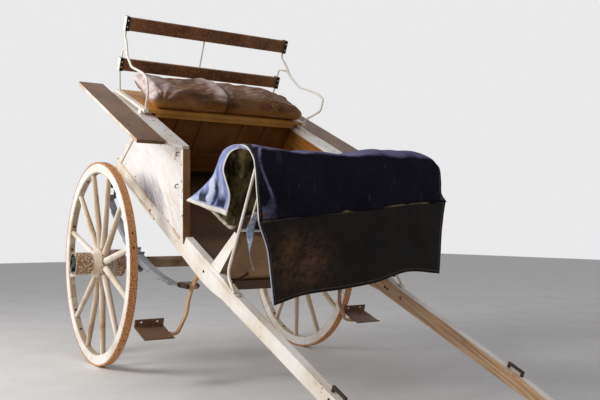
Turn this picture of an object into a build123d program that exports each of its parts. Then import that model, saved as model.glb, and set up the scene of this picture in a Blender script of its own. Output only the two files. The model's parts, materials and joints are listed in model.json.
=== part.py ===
"""Two-wheeled horse-drawn gig, parked nose down on its shaft tips.

All sizes are in millimetres.
World frame: +X towards the horse, +Y to the driver's left, +Z up, floor at Z = 0,
X = 0 and Y = 0 in the middle of the parked gig's length and width.
Cart frame: u forward and v up from the axle's centre, tilted with the body.
"""
from build123d import *
import math
import os

# Wheels
wheel_radius = 600
tyre_thickness = 10
tyre_width = 44
felloe_depth = 56
felloe_edge_round = 7
rim_middle = 712                 # middle of the rim, from the centre line
spoke_count = 12
spoke_foot_radius = 20
spoke_tip_radius = 14.5
wheel_dish = 22                  # the spokes' feet stand this far inside the rim
spoke_turn_left = 25             # degrees from straight ahead to the first spoke
spoke_turn_right = 10.7
nave_seat_radius = 94
nave_seat_margin = 2             # flat beside the spokes' feet
nave_back = 567                  # nave's inner end, from the centre line
nave_front = 812                 # wooden nave's outer end
nave_nose_radius = 60
nave_rear_radius = 76
nave_band_thickness = 5
nose_band_overhang = 48          # the nose band stands out as a hollow cup
nose_band_width = 98
rear_band_width = 56
running_clearance = 0.05

# Axle
axle_section = 50
axle_arm_radius = 22
axle_collar_radius = 42
axle_collar_width = 18
axle_square_half = 545
axle_nut_width = 22
axle_nut_across = 62
nut_gap = 2

# Side rails that run on into the shafts
shaft_middle = 480               # middle of a shaft, from the centre line
shaft_width = 40
rail_back_end = -541
rail_bottom_at_axle = 386
rail_bottom_slope = -0.0441
rail_depth = 70
rail_shoulder_start = 604
rail_shoulder_end = 646
rail_shoulder_top = 470
shoulder_run = 60                # level top in front of the toe board
rail_bottom_front = 842
shaft_bottom_start = 1135
shaft_top_start = 1225
shaft_height_at_body = 395       # shaft's middle line over the axle, at shaft_height_station
shaft_height_station = 699
shaft_rise = 0.0419              # the shafts rise forward against the body
shaft_root_half = 40
shaft_taper_start = 2150
shaft_taper_half = 33
tip_reach = 2425                 # centre of the rounded iron tip
tip_radius = 23
tip_cap_length = 70
staple_station = 2110
staple_length = 90
staple_height = 26
staple_bar = 11

# Body sides
side_inner = 477
side_outer = 507
panel_thickness = 18
panel_recess = 5
panel_gap = 7                    # open joint between the panel and the back post
post_width = 50
front_post_inner = 465
front_post_width = 44
bead_size = 12
bead_end = 212                   # the lower bead is broken off here
front_edge_low = 638             # front edge of the side at the rail
front_edge_high = 428            # and under the ledge
back_edge_low = -492
back_edge_high = -210
ledge_under = 880
board_thickness = 18
ledge_inner = 472
ledge_outer = 575
ledge_back = -585
ledge_front = 425
ledge_taper_start = 363
ledge_front_outer = 510

# Wing boards over the wheels
wing_inner = 583
wing_outer = 742
wing_back = -773
wing_front = 363
wing_round = 20
bracket_width = 26
bracket_thickness = 8
bracket_inset = 12
bracket_stations = (-120, 110, 330)
back_bracket_station = -480
bracket_leg = 90

# Floor, cross bars, tail board and seat box
floor_top = 445
floor_thickness = 15
floor_back = -486
floor_front = 1016
floor_board_pitch = 158
floor_board_gap = 2
cross_bar_section = 50
cross_bar_stations = (-400, 130, 640)
tail_lean = 0.705
tail_thickness = 22              # measured level, through the leaning board
box_gap = 2                      # between the seat box and the ledges
riser_high = -115                # the riser's front at the ledges' top
riser_low = 520
riser_lean = 0.345
batten_width = 40
batten_thickness = 10
batten_places = (-300, -140, 140, 300)

# Seat, rising forward from the ledges' back ends
seat_half = 526
seat_back = -600
seat_front = -77
seat_slope = 0.05
seat_thickness = 19
seat_end_width = 28
seat_block_back = -168           # small blocks under the seat's ends
seat_block_length = 42
lip_depth = 24
lip_thickness = 20
lip_inset = 6
cushion_over = 2                 # the cushion stands out past the seat board
cushion_back = -484
cushion_front = -58
cushion_corner = 60
cushion_height = 108
cushion_gap = 0.3
cushion_round = 40

# Back rest
back_rail_rear = -576
back_rail_thickness = 24
top_rail_above = 396             # the rails' lower edges, above the ledges
top_rail_depth = 83
lower_rail_above = 148
lower_rail_depth = 76
back_rail_over = 21              # the rails stand out past the seat board
rail_round = 5
rail_iron_width = 24             # iron sockets on the rails' ends
rail_iron_depth = 44
rail_iron_over = 2
rail_iron_set_back = 5
middle_rod_place = -36
middle_rod_radius = 6
middle_rod_below = 8
arm_iron_radius = 7
arm_branch_radius = 5.5
arm_upright = 34
back_stay_radius = 6

# Toe board and dash
toe_foot_back = 962
toe_foot_front = 1060
toe_top_back = 1117
toe_top_front = 1166
toe_top = 717
toe_stile_width = 34
toe_plank_low = 418
toe_plank_high = 705
toe_plank_thickness = 19.5       # measured level, through the leaning board
toe_plank_inset = 8
toe_side_gap = 1
toe_plank_rows = 2
front_bar_back = 1000
front_bar_front = 1048
front_bar_depth = 50
swingletree_bolt_radius = 8
drill_over = 5
dash_foot = 690
dash_foot_station = 1166
dash_lean = 0.0767
dash_low = 748
dash_top = 1140
dash_clearance = 2               # between the dash's rods and the toe board's side pieces
dash_rod_radius = 7
dash_bar_radius = 6
dash_corner = 36
dash_rod_spacing = 51
dash_leather = 5
stay_foot_station = 1248
stay_foot_plate = 6
stay_foot_length = 36
stay_foot_width = 26
stay_straight = 70               # the stay runs straight down this far before it bends back
stay_bend_back = 16
stay_bend_drop = 175
stay_bends = (60, 70)
brace_radius = 5
brace_place = 330
brace_rise = 40                  # above the planks' lower edge

# Springs
spring_width = 45
leaf_thickness = 9
leaf_shares = (1.0, 0.8, 0.58, 0.34)
spring_front_half = 694
spring_rear_half = 600
spring_front_rise = 130
spring_rear_rise = 100
spring_pad = 15
eye_radius = 17
eye_pin_radius = 8
link_plate = 6
link_plate_gap = 0.5
link_width = 30
shackle_length = 84
scroll_thickness = 12
seat_gap = 0.02                  # hair's breadth between parallel faces
clip_half = 32                   # half the distance between a clip's bolts
clip_bolt_radius = 5
clip_plate = 12
clip_plate_over = 13             # the plate stands out past the bolts
clip_plate_side = 11
clip_pad_short = 7
clip_bolt_below = 14
clip_nut_radius = 9
clip_nut_height = 9
clip_strap_height = 8
clip_strap_gap = 1
pin_overhang = 8                 # pins stand out past their plates
shackle_width = 28
scroll_foot_length = 105
scroll_foot_bend = 4             # the scroll leaves the rail this far from its end
scroll_reach = 28
scroll_drop = 52
scroll_end_back = 10
scroll_end_rise = 10
scroll_bend = 40

# Steps
step_back = 745
step_length = 158
step_inner = 584
step_outer = 743
step_height = 10                 # the step's top at its back edge
step_tilt = 5.7                  # degrees, front edge up
step_plate = 6
step_upstand = 38
step_lip = 10
step_hole_radius = 6
step_hole_spread = 44
step_hole_share = 0.6            # of the upright lip's height
hanger_width = 26
hanger_thickness = 14
hanger_flat = 10                 # the forged end under the step
hanger_foot = 9
hanger_foot_back = 44
hanger_foot_front = 14
hanger_boss = 3                  # the iron is this much wider round the pin
hanger_pin_station = 789
hanger_pin_height = 256
hanger_top_station = 826
hanger_end_share = 0.6           # of the step's length
hanger_turn = 44                 # the hanger turns outwards this far inside the step
hanger_turn_end = 8
hanger_turn_bend = 32
hanger_flat_inside = 16
hanger_flat_over = 10

# Apron, laid over the dash
apron_thickness = 12
apron_gap = 0.3
apron_back_reach = 172
apron_back_rise = 29
flap_drop = 326
flap_thickness = 10
flap_back = 168                  # the flap hangs this far backwards
flap_inset = 10
corner_back = 385                # the near corner is pulled back, out and down
corner_out = 85
corner_drop = 241

side_frame = Plane.XZ

# The parked tilt follows from the tip resting on the floor beside the wheels
tip_height = shaft_height_at_body + (tip_reach - shaft_height_station) * shaft_rise
tip_distance = math.hypot(tip_reach, tip_height)
tilt = math.asin((wheel_radius - tip_radius) / tip_distance) + math.atan2(tip_height, tip_reach)
tilt_cos = math.cos(tilt)
tilt_sin = math.sin(tilt)
tip_front = tip_reach * tilt_cos + tip_height * tilt_sin + tip_radius
axle_x = (wheel_radius - tip_front) / 2
axle_centre = Vector(axle_x, 0, wheel_radius)
forward = Vector(tilt_cos, 0, -tilt_sin)
up = Vector(tilt_sin, 0, tilt_cos)


def cart_point(u, y, v):
    """World place of a point given in the tilted cart frame."""
    return axle_centre + forward * u + up * v + Vector(0, y, 0)


def side_plane(y):
    """Side view: local x forward, local y up, extrudes to the driver's right."""
    return Plane(origin=cart_point(0, y, 0), x_dir=forward, z_dir=(0, -1, 0))


def plan_plane(v):
    """Plan view at height v: local x forward, local y to the left."""
    return Plane(origin=cart_point(0, 0, v), x_dir=forward, z_dir=up)


def front_plane(u):
    """Front view at station u: local x to the left, local y up."""
    return Plane(origin=cart_point(u, 0, 0), x_dir=(0, 1, 0), z_dir=forward)


def rail_bottom(u):
    return rail_bottom_at_axle + rail_bottom_slope * u


def rail_top(u):
    return rail_bottom(u) + rail_depth


def shaft_line(u):
    return shaft_height_at_body + (u - shaft_height_station) * shaft_rise


def shaft_half(u):
    share = (u - shaft_top_start) / (shaft_taper_start - shaft_top_start)
    return shaft_root_half + (shaft_taper_half - shaft_root_half) * max(share, 0)


def back_edge(v):
    """Leaning line of the body's back edge."""
    return back_edge_high + (v - ledge_under) * tail_lean


def front_edge(v):
    share = (v - rail_front_top) / (ledge_under - rail_front_top)
    return front_edge_low + (front_edge_high - front_edge_low) * share


def toe_front(v):
    """Front face line of the toe board's side pieces."""
    share = (v - rail_shoulder_top) / (toe_top - rail_shoulder_top)
    return toe_foot_front + (toe_top_front - toe_foot_front) * share


def seat_line(u):
    """Height of the seat's underside, which rests on the ledges' back ends."""
    return ledge_top + (u - ledge_back) * seat_slope


def below_seat(place, lean):
    """Point where a leaning line meets the seat; place is its station at the ledges' top."""
    rise = (place - ledge_back) * seat_slope / (1 - lean * seat_slope)
    return (place + rise * lean, ledge_top + rise)


def dash_line(v):
    return dash_foot_station + (v - dash_foot) * dash_lean


def finish(piece, name):
    piece.part.label = name
    export_step(piece.part, f"parts/{name}.step")


rail_front_top = rail_top(front_edge_low)
rail_back_top = rail_top(back_edge_low)
shaft_end = tip_reach - tip_cap_length
shaft_inner = shaft_middle - shaft_width / 2
shaft_outer = shaft_middle + shaft_width / 2
ledge_top = ledge_under + board_thickness
seat_box_half = ledge_inner - box_gap
cushion_half = seat_half + cushion_over
back_rail_half = seat_half + back_rail_over
top_rail_low = ledge_top + top_rail_above
top_rail_high = top_rail_low + top_rail_depth
lower_rail_low = ledge_top + lower_rail_above
lower_rail_high = lower_rail_low + lower_rail_depth
os.makedirs("parts", exist_ok=True)

# Wheels, one set of pieces for each side
felloe_outer = wheel_radius - tyre_thickness
felloe_inner = felloe_outer - felloe_depth
felloe_middle = (felloe_outer + felloe_inner) / 2
rim_inner_face = rim_middle - tyre_width / 2
rim_outer_face = rim_middle + tyre_width / 2
spoke_foot_place = rim_middle - wheel_dish
seat_half_width = spoke_foot_radius + nave_seat_margin
seat_in = spoke_foot_place - seat_half_width
seat_out = spoke_foot_place + seat_half_width
nave_bore = axle_arm_radius + running_clearance
nose_outer = nave_nose_radius + nave_band_thickness
rear_outer = nave_rear_radius + nave_band_thickness
spoke_root = nave_seat_radius - 12
nose_in = nave_front - (nose_band_width - nose_band_overhang)
rear_out = nave_back + rear_band_width


def wheel_plane(side):
    """Revolving plane: local x outwards along the axle, local y away from it."""
    return Plane(origin=(axle_x, 0, wheel_radius), x_dir=(0, side, 0), z_dir=(side, 0, 0))


for side, side_name, spoke_turn in ((1, "left", spoke_turn_left), (-1, "right", spoke_turn_right)):
    spin_axis = Axis((axle_x, 0, wheel_radius), (0, side, 0))

    with BuildPart() as tyre:
        with BuildSketch(wheel_plane(side)) as tyre_section:
            with Locations((rim_middle, wheel_radius - tyre_thickness / 2)):
                RectangleRounded(tyre_width, tyre_thickness, 3)
        revolve(axis=spin_axis)
    finish(tyre, f"tyre_{side_name}")

    with BuildPart() as felloes:
        with BuildSketch(wheel_plane(side)):
            with BuildLine():
                Polyline(
                    (rim_inner_face + 1, felloe_outer),
                    (rim_outer_face - 1, felloe_outer),
                    (rim_outer_face - 1, felloe_inner + felloe_edge_round),
                    (rim_outer_face - 1 - felloe_edge_round, felloe_inner),
                    (rim_inner_face + 1 + felloe_edge_round, felloe_inner),
                    (rim_inner_face + 1, felloe_inner + felloe_edge_round),
                    close=True,
                )
            make_face()
        revolve(axis=spin_axis)
    finish(felloes, f"felloes_{side_name}")

    with BuildPart() as spokes:
        for turn in range(spoke_count):
            angle = math.radians(spoke_turn + turn * 360 / spoke_count)
            out = Vector(math.cos(angle), 0, math.sin(angle))
            foot_point = Vector(axle_x, side * spoke_foot_place, wheel_radius) + out * spoke_root
            tip_point = Vector(axle_x, side * rim_middle, wheel_radius) + out * felloe_middle
            along = (tip_point - foot_point).normalized()
            with BuildSketch(Plane(origin=foot_point, z_dir=along)):
                Circle(spoke_foot_radius)
            with BuildSketch(Plane(origin=tip_point, z_dir=along)):
                Circle(spoke_tip_radius)
            loft()
        hub_plane = Plane(origin=(axle_x, side * rim_middle, wheel_radius), z_dir=(0, 1, 0))
        with BuildSketch(hub_plane):
            Circle(felloe_inner)
        extrude(amount=tyre_width * 2, both=True, mode=Mode.INTERSECT)
        with BuildSketch(hub_plane):
            Circle(nave_seat_radius)
        extrude(amount=tyre_width * 3, both=True, mode=Mode.SUBTRACT)
    finish(spokes, f"spokes_{side_name}")

    with BuildPart() as nave:
        with BuildSketch(wheel_plane(side)):
            with BuildLine():
                Polyline(
                    (nave_back, nave_bore),
                    (nave_front, nave_bore),
                    (nave_front, nave_nose_radius),
                    (nose_in, nave_nose_radius),
                    (seat_out, nave_seat_radius),
                    (seat_in, nave_seat_radius),
                    (rear_out, nave_rear_radius),
                    (nave_back, nave_rear_radius),
                    close=True,
                )
            make_face()
        revolve(axis=spin_axis)
    finish(nave, f"nave_{side_name}")

    with BuildPart() as nave_bands:
        with BuildSketch(wheel_plane(side)):
            with BuildLine():
                Polyline(
                    (nose_in, nave_nose_radius),
                    (nave_front + nose_band_overhang, nave_nose_radius),
                    (nave_front + nose_band_overhang, nose_outer),
                    (nose_in, nose_outer),
                    close=True,
                )
            make_face()
            with BuildLine():
                Polyline(
                    (nave_back, nave_rear_radius),
                    (rear_out, nave_rear_radius),
                    (rear_out, rear_outer),
                    (nave_back, rear_outer),
                    close=True,
                )
            make_face()
        revolve(axis=spin_axis)
    finish(nave_bands, f"nave_bands_{side_name}")

# Axle: square bed, collars and turned arms
with BuildPart() as axle:
    with BuildSketch(side_plane(axle_square_half)):
        Rectangle(axle_section, axle_section)
    extrude(amount=2 * axle_square_half)
    with BuildSketch(side_plane(nave_back - 2)):
        Circle(axle_collar_radius)
    extrude(amount=axle_collar_width)
    with BuildSketch(side_plane(-(nave_back - 2))):
        Circle(axle_collar_radius)
    extrude(amount=-axle_collar_width)
    with BuildSketch(side_plane(nave_front + nut_gap + axle_nut_width)):
        Circle(axle_arm_radius)
    extrude(amount=2 * (nave_front + nut_gap + axle_nut_width))
finish(axle, "axle")

with BuildPart() as axle_nuts:
    with BuildSketch(side_plane(-(nave_front + nut_gap))):
        RegularPolygon(axle_nut_across / 2, 6, major_radius=False)
        Circle(axle_arm_radius, mode=Mode.SUBTRACT)
    extrude(amount=axle_nut_width)
    mirror(about=side_frame)
finish(axle_nuts, "axle_nuts")

# Shafts: each is one long timber from the body's back to the tip
bottom_kink = rail_bottom(rail_bottom_front)
with BuildPart() as shafts:
    with BuildSketch(side_plane(-shaft_inner)):
        with BuildLine():
            rear = Line((rail_back_end, rail_top(rail_back_end)), (rail_back_end, rail_bottom(rail_back_end)))
            low_back = Line(rear @ 1, (rail_bottom_front, bottom_kink))
            low_bend = TangentArc(
                low_back @ 1,
                (shaft_bottom_start, shaft_line(shaft_bottom_start) - shaft_root_half),
                tangent=low_back % 1,
            )
            low_front = Line(low_bend @ 1, (shaft_taper_start, shaft_line(shaft_taper_start) - shaft_taper_half))
            low_taper = Line(low_front @ 1, (shaft_end, shaft_line(shaft_end) - tip_radius))
            end = Line(low_taper @ 1, (shaft_end, shaft_line(shaft_end) + tip_radius))
            top_taper = Line(end @ 1, (shaft_taper_start, shaft_line(shaft_taper_start) + shaft_taper_half))
            top_front = Line(top_taper @ 1, (shaft_top_start, shaft_line(shaft_top_start) + shaft_root_half))
            shoulder_front = Line(top_front @ 1, (toe_foot_front + shoulder_run, rail_shoulder_top))
            shoulder = Line(shoulder_front @ 1, (rail_shoulder_end, rail_shoulder_top))
            shoulder_back = Line(shoulder @ 1, (front_edge_low + 2, rail_top(front_edge_low + 2)))
            Line(shoulder_back @ 1, rear @ 0)
        make_face()
    extrude(amount=shaft_width)
    mirror(about=side_frame)
finish(shafts, "shafts")

# Rounded iron tips on the shafts' ends
tip_direction = Vector(1, shaft_rise).normalized()
end_point = Vector(shaft_end, shaft_line(shaft_end))
tip_length = (Vector(tip_reach, tip_height) - end_point).length
tip_base = tip_radius * shaft_rise + seat_gap
tip_plane = Plane(
    origin=cart_point(shaft_end, -shaft_middle, shaft_line(shaft_end)),
    x_dir=forward * tip_direction.X + up * tip_direction.Y,
    z_dir=(0, -1, 0),
)
with BuildPart() as shaft_tips:
    with BuildSketch(tip_plane):
        with BuildLine():
            base = Line((tip_base, 0), (tip_base, tip_radius))
            tube = Line(base @ 1, (tip_length, tip_radius))
            nose = CenterArc((tip_length, 0), tip_radius, 0, 90)
            Line((tip_length + tip_radius, 0), base @ 0)
        make_face()
    revolve(axis=Axis(tip_plane.origin, tip_plane.x_dir))
    mirror(about=side_frame)
finish(shaft_tips, "shaft_tips")

# Iron staples on the shafts' top, where the harness pulls
def shaft_top(u):
    return shaft_line(u) + shaft_half(u)


staple_back = staple_station - staple_length / 2
staple_front = staple_station + staple_length / 2
staple_start = cart_point(staple_back, 0, shaft_top(staple_back))
staple_finish = cart_point(staple_front, 0, shaft_top(staple_front))
staple_plane = Plane(
    origin=(staple_start + staple_finish) / 2 - Vector(0, shaft_middle - staple_bar / 2, 0),
    x_dir=(staple_finish - staple_start).normalized(),
    z_dir=(0, -1, 0),
)
with BuildPart() as shaft_staples:
    with BuildSketch(staple_plane):
        with Locations((0, staple_height / 2)):
            Rectangle(staple_length, staple_height)
        with Locations((0, (staple_height - staple_bar) / 2)):
            Rectangle(staple_length - 2 * staple_bar, staple_height - staple_bar, mode=Mode.SUBTRACT)
    extrude(amount=staple_bar)
    mirror(about=side_frame)
finish(shaft_staples, "shaft_staples")

# Cross bars under the floor and under the toe board
with BuildPart() as cross_bars:
    with BuildSketch(side_plane(shaft_inner)):
        for station in cross_bar_stations:
            with Locations((station, floor_top - floor_thickness - cross_bar_section / 2)):
                Rectangle(cross_bar_section, cross_bar_section)
        with BuildLine():
            Polyline(
                (front_bar_back, toe_plank_low - front_bar_depth),
                (front_bar_front, toe_plank_low - front_bar_depth),
                (front_bar_front, toe_plank_low),
                (front_bar_back, toe_plank_low),
                close=True,
            )
        make_face()
    extrude(amount=2 * shaft_inner)
    with BuildSketch(front_plane(front_bar_back - drill_over)):
        with Locations((0, toe_plank_low - front_bar_depth / 2)):
            Circle(swingletree_bolt_radius)
    extrude(amount=front_bar_front - front_bar_back + 2 * drill_over, mode=Mode.SUBTRACT)
finish(cross_bars, "cross_bars")

# Floor boards laid across the body
floor_length = floor_front - floor_back
floor_rows = round(floor_length / floor_board_pitch)
board_pitch = floor_length / floor_rows
with BuildPart() as floor_boards:
    with BuildSketch(plan_plane(floor_top - floor_thickness)):
        for row in range(floor_rows):
            with Locations((floor_back + (row + 0.5) * board_pitch, 0)):
                Rectangle(board_pitch - floor_board_gap, 2 * (shaft_inner - 2))
    extrude(amount=floor_thickness)
finish(floor_boards, "floor_boards")

# Body sides: panel between a front and a back post on the rail
panel_out = side_outer - panel_recess
with BuildPart() as side_panels:
    with BuildSketch(side_plane(-(panel_out - panel_thickness))):
        with BuildLine():
            Polyline(
                (back_edge_low + post_width + panel_gap, rail_top(back_edge_low + post_width + panel_gap)),
                (front_edge_low - front_post_width, rail_top(front_edge_low - front_post_width)),
                (front_edge_high - front_post_width, ledge_under),
                (back_edge_high + post_width + panel_gap, ledge_under),
                close=True,
            )
        make_face()
    extrude(amount=panel_thickness)
    mirror(about=side_frame)
finish(side_panels, "side_panels")

with BuildPart() as front_posts:
    with BuildSketch(side_plane(-front_post_inner)):
        with BuildLine():
            Polyline(
                (front_edge_low, rail_front_top),
                (front_edge_low - front_post_width, rail_top(front_edge_low - front_post_width)),
                (front_edge_high - front_post_width, ledge_under),
                (front_edge_high, ledge_under),
                close=True,
            )
        make_face()
    extrude(amount=side_outer - front_post_inner)
    mirror(about=side_frame)
finish(front_posts, "front_posts")

with BuildPart() as back_posts:
    with BuildSketch(side_plane(-side_inner)):
        with BuildLine():
            Polyline(
                (back_edge_low, rail_back_top),
                (back_edge_low + post_width, rail_top(back_edge_low + post_width)),
                (back_edge_high + post_width, ledge_under),
                (back_edge_high, ledge_under),
                close=True,
            )
        make_face()
    extrude(amount=side_outer - side_inner)
    mirror(about=side_frame)
finish(back_posts, "back_posts")

# Beads along the timbers' lower edge, and over the joint between timber and panel
upper_bead_back = back_edge_low + post_width + panel_gap
upper_bead_front = front_edge_low - front_post_width - bead_size
with BuildPart() as side_beads:
    with BuildSketch(side_plane(-shaft_outer)):
        with BuildLine():
            Polyline(
                (rail_back_end, rail_bottom(rail_back_end)),
                (bead_end, rail_bottom(bead_end)),
                (bead_end, rail_bottom(bead_end) + bead_size),
                (rail_back_end, rail_bottom(rail_back_end) + bead_size),
                close=True,
            )
        make_face()
    extrude(amount=bead_size * 0.8)
    with BuildSketch(side_plane(-panel_out)):
        with BuildLine():
            Polyline(
                (upper_bead_back + bead_size, rail_top(upper_bead_back + bead_size)),
                (upper_bead_front, rail_top(upper_bead_front)),
                (upper_bead_front, rail_top(upper_bead_front) + bead_size),
                (upper_bead_back + bead_size, rail_top(upper_bead_back + bead_size) + bead_size),
                close=True,
            )
        make_face()
    extrude(amount=bead_size * 0.6)
    mirror(about=side_frame)
finish(side_beads, "side_beads")

# Ledges on the sides, and the wing boards over the wheels
with BuildPart() as side_ledges:
    with BuildSketch(plan_plane(ledge_under)):
        with BuildLine():
            Polyline(
                (ledge_back, -ledge_inner),
                (ledge_front, -ledge_inner),
                (ledge_front, -ledge_front_outer),
                (ledge_taper_start, -ledge_outer),
                (ledge_back, -ledge_outer),
                close=True,
            )
        make_face()
    extrude(amount=board_thickness)
    mirror(about=side_frame)
finish(side_ledges, "side_ledges")

with BuildPart() as wing_boards:
    with BuildSketch(plan_plane(ledge_under)):
        with Locations(((wing_back + wing_front) / 2, -(wing_inner + wing_outer) / 2)):
            Rectangle(wing_front - wing_back, wing_outer - wing_inner)
    extrude(amount=board_thickness)
    fillet(wing_boards.edges().filter_by(Axis(axle_centre, up)).sort_by(Axis.X)[:1], wing_round)
    mirror(about=side_frame)
finish(wing_boards, "wing_boards")

with BuildPart() as wing_brackets:
    with BuildSketch(plan_plane(ledge_under - bracket_thickness)):
        for station in (*bracket_stations, back_bracket_station):
            with Locations((station, -(side_outer + wing_outer - bracket_inset) / 2)):
                Rectangle(bracket_width, wing_outer - bracket_inset - side_outer)
    extrude(amount=bracket_thickness)
    for station in bracket_stations:
        with BuildSketch(plan_plane(ledge_under - bracket_leg)):
            with Locations((station, -(panel_out + bracket_thickness / 2))):
                Rectangle(bracket_width, bracket_thickness)
        extrude(amount=bracket_leg)
    mirror(about=side_frame)
finish(wing_brackets, "wing_brackets")

# Tail board, leaning forward from the floor to the seat
tail_tiers = (
    (shaft_inner - 2, floor_top, rail_back_top + 1),
    (side_inner - 1, rail_back_top + 1, ledge_under - 1),
)
with BuildPart() as tail_board:
    for half, low, high in tail_tiers:
        with BuildSketch(side_plane(half)):
            with BuildLine():
                Polyline(
                    (back_edge(low), low),
                    (back_edge(low) + tail_thickness, low),
                    (back_edge(high) + tail_thickness, high),
                    (back_edge(high), high),
                    close=True,
                )
            make_face()
        extrude(amount=2 * half)
    with BuildSketch(side_plane(seat_box_half)):
        with BuildLine():
            Polyline(
                (back_edge(ledge_under - 1), ledge_under - 1),
                (back_edge(ledge_under - 1) + tail_thickness, ledge_under - 1),
                below_seat(back_edge(ledge_top) + tail_thickness, tail_lean),
                below_seat(back_edge(ledge_top), tail_lean),
                close=True,
            )
        make_face()
    extrude(amount=2 * seat_box_half)
finish(tail_board, "tail_board")

# Seat box front with its battens
lip_front = seat_front - lip_inset
lip_back = lip_front - lip_thickness
batten_high = seat_line(lip_back) - lip_depth - 1
batten_low = riser_low + 10
riser_half = panel_out - panel_thickness - 1


def riser_front(v):
    return riser_high + (v - ledge_top) * riser_lean


riser_foot = ((riser_front(riser_low) - board_thickness, riser_low), (riser_front(riser_low), riser_low))
riser_neck = (
    (riser_front(ledge_under - 1) - board_thickness, ledge_under - 1),
    (riser_front(ledge_under - 1), ledge_under - 1),
)
riser_head = (below_seat(riser_high - board_thickness, riser_lean), below_seat(riser_high, riser_lean))
with BuildPart() as seat_riser:
    for half, under, over in ((riser_half, riser_foot, riser_neck), (seat_box_half, riser_neck, riser_head)):
        with BuildSketch(side_plane(half)):
            with BuildLine():
                Polyline(*under, *over[::-1], close=True)
            make_face()
        extrude(amount=2 * half)
    for place in batten_places:
        with BuildSketch(side_plane(place + batten_width / 2)):
            with BuildLine():
                Polyline(
                    (riser_front(batten_high), batten_high),
                    (riser_front(batten_low), batten_low),
                    (riser_front(batten_low) + batten_thickness, batten_low),
                    (riser_front(batten_high) + batten_thickness, batten_high),
                    close=True,
                )
            make_face()
        extrude(amount=batten_width)
finish(seat_riser, "seat_riser")

# Seat board with its front lip, between end pieces that rest on the ledges and on a block each
def seat_top(u):
    return seat_line(u) + seat_thickness


seat_end_middle = seat_half + seat_end_width / 2
seat_block_front = seat_block_back + seat_block_length
seat_profile = (
    (seat_back, seat_line(seat_back)),
    (seat_front, seat_line(seat_front)),
    (seat_front, seat_top(seat_front)),
    (seat_back, seat_top(seat_back)),
)
with BuildPart() as seat_ends:
    with BuildSketch(side_plane(-seat_half)):
        with BuildLine():
            Polyline(*seat_profile, close=True)
        make_face()
        with BuildLine():
            Polyline(
                (seat_block_back, ledge_top),
                (seat_block_front, ledge_top),
                (seat_block_front, seat_line(seat_block_front)),
                (seat_block_back, seat_line(seat_block_back)),
                close=True,
            )
        make_face()
    extrude(amount=seat_end_width)
    mirror(about=side_frame)
finish(seat_ends, "seat_ends")

with BuildPart() as seat_board:
    with BuildSketch(side_plane(seat_half)):
        with BuildLine():
            Polyline(*seat_profile, close=True)
        make_face()
    extrude(amount=2 * seat_half)
    with BuildSketch(side_plane(seat_box_half)):
        with BuildLine():
            Polyline(
                (lip_back, seat_line(lip_back)),
                (lip_front, seat_line(lip_front)),
                (lip_front, seat_line(lip_front) - lip_depth),
                (lip_back, seat_line(lip_back) - lip_depth),
                close=True,
            )
        make_face()
    extrude(amount=2 * seat_box_half)
finish(seat_board, "seat_board")

cushion_middle = (cushion_back + cushion_front) / 2
seat_plane = Plane(
    origin=cart_point(cushion_middle, 0, seat_top(cushion_middle) + cushion_gap),
    x_dir=forward + up * seat_slope,
    z_dir=up - forward * seat_slope,
)
with BuildPart() as cushion:
    with BuildSketch(seat_plane):
        RectangleRounded(cushion_front - cushion_back, 2 * cushion_half, cushion_corner)
    extrude(amount=cushion_height)
    fillet(cushion.faces().sort_by(Axis(axle_centre, seat_plane.z_dir))[-1].edges(), cushion_round)
finish(cushion, "cushion")

# Back rest: two rails in iron sockets that the arm irons carry, with a thin rod between
rail_middle_u = back_rail_rear + back_rail_thickness / 2
rod_clearance = 0.1
with BuildPart() as top_rail:
    with BuildSketch(side_plane(back_rail_half)):
        with Locations((rail_middle_u, (top_rail_low + top_rail_high) / 2)):
            Rectangle(back_rail_thickness, top_rail_high - top_rail_low)
    extrude(amount=2 * back_rail_half)
    fillet(top_rail.edges().filter_by(Axis.Y), rail_round)
finish(top_rail, "top_rail")

with BuildPart() as lower_rail:
    with BuildSketch(side_plane(back_rail_half)):
        with Locations((rail_middle_u, (lower_rail_low + lower_rail_high) / 2)):
            Rectangle(back_rail_thickness, lower_rail_high - lower_rail_low)
    extrude(amount=2 * back_rail_half)
    fillet(lower_rail.edges().filter_by(Axis.Y), rail_round)
    with BuildSketch(plan_plane(lower_rail_low)):
        with Locations((rail_middle_u, middle_rod_place)):
            Circle(middle_rod_radius + rod_clearance)
    extrude(amount=lower_rail_high - lower_rail_low, mode=Mode.SUBTRACT)
finish(lower_rail, "lower_rail")

with BuildPart() as rail_irons:
    for low, high in ((top_rail_low, top_rail_high), (lower_rail_low, lower_rail_high)):
        with BuildSketch(side_plane(-back_rail_half)):
            with Locations((rail_middle_u - rail_iron_set_back, (low + high) / 2)):
                Rectangle(rail_iron_depth, high - low + 2 * rail_iron_over)
        extrude(amount=rail_iron_width)
    mirror(about=side_frame)
finish(rail_irons, "rail_irons")

with BuildPart() as back_rod:
    with BuildSketch(plan_plane(lower_rail_low - middle_rod_below)):
        with Locations((rail_middle_u, middle_rod_place)):
            Circle(middle_rod_radius)
    extrude(amount=top_rail_low - lower_rail_low + middle_rod_below)
finish(back_rod, "back_rod")

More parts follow.
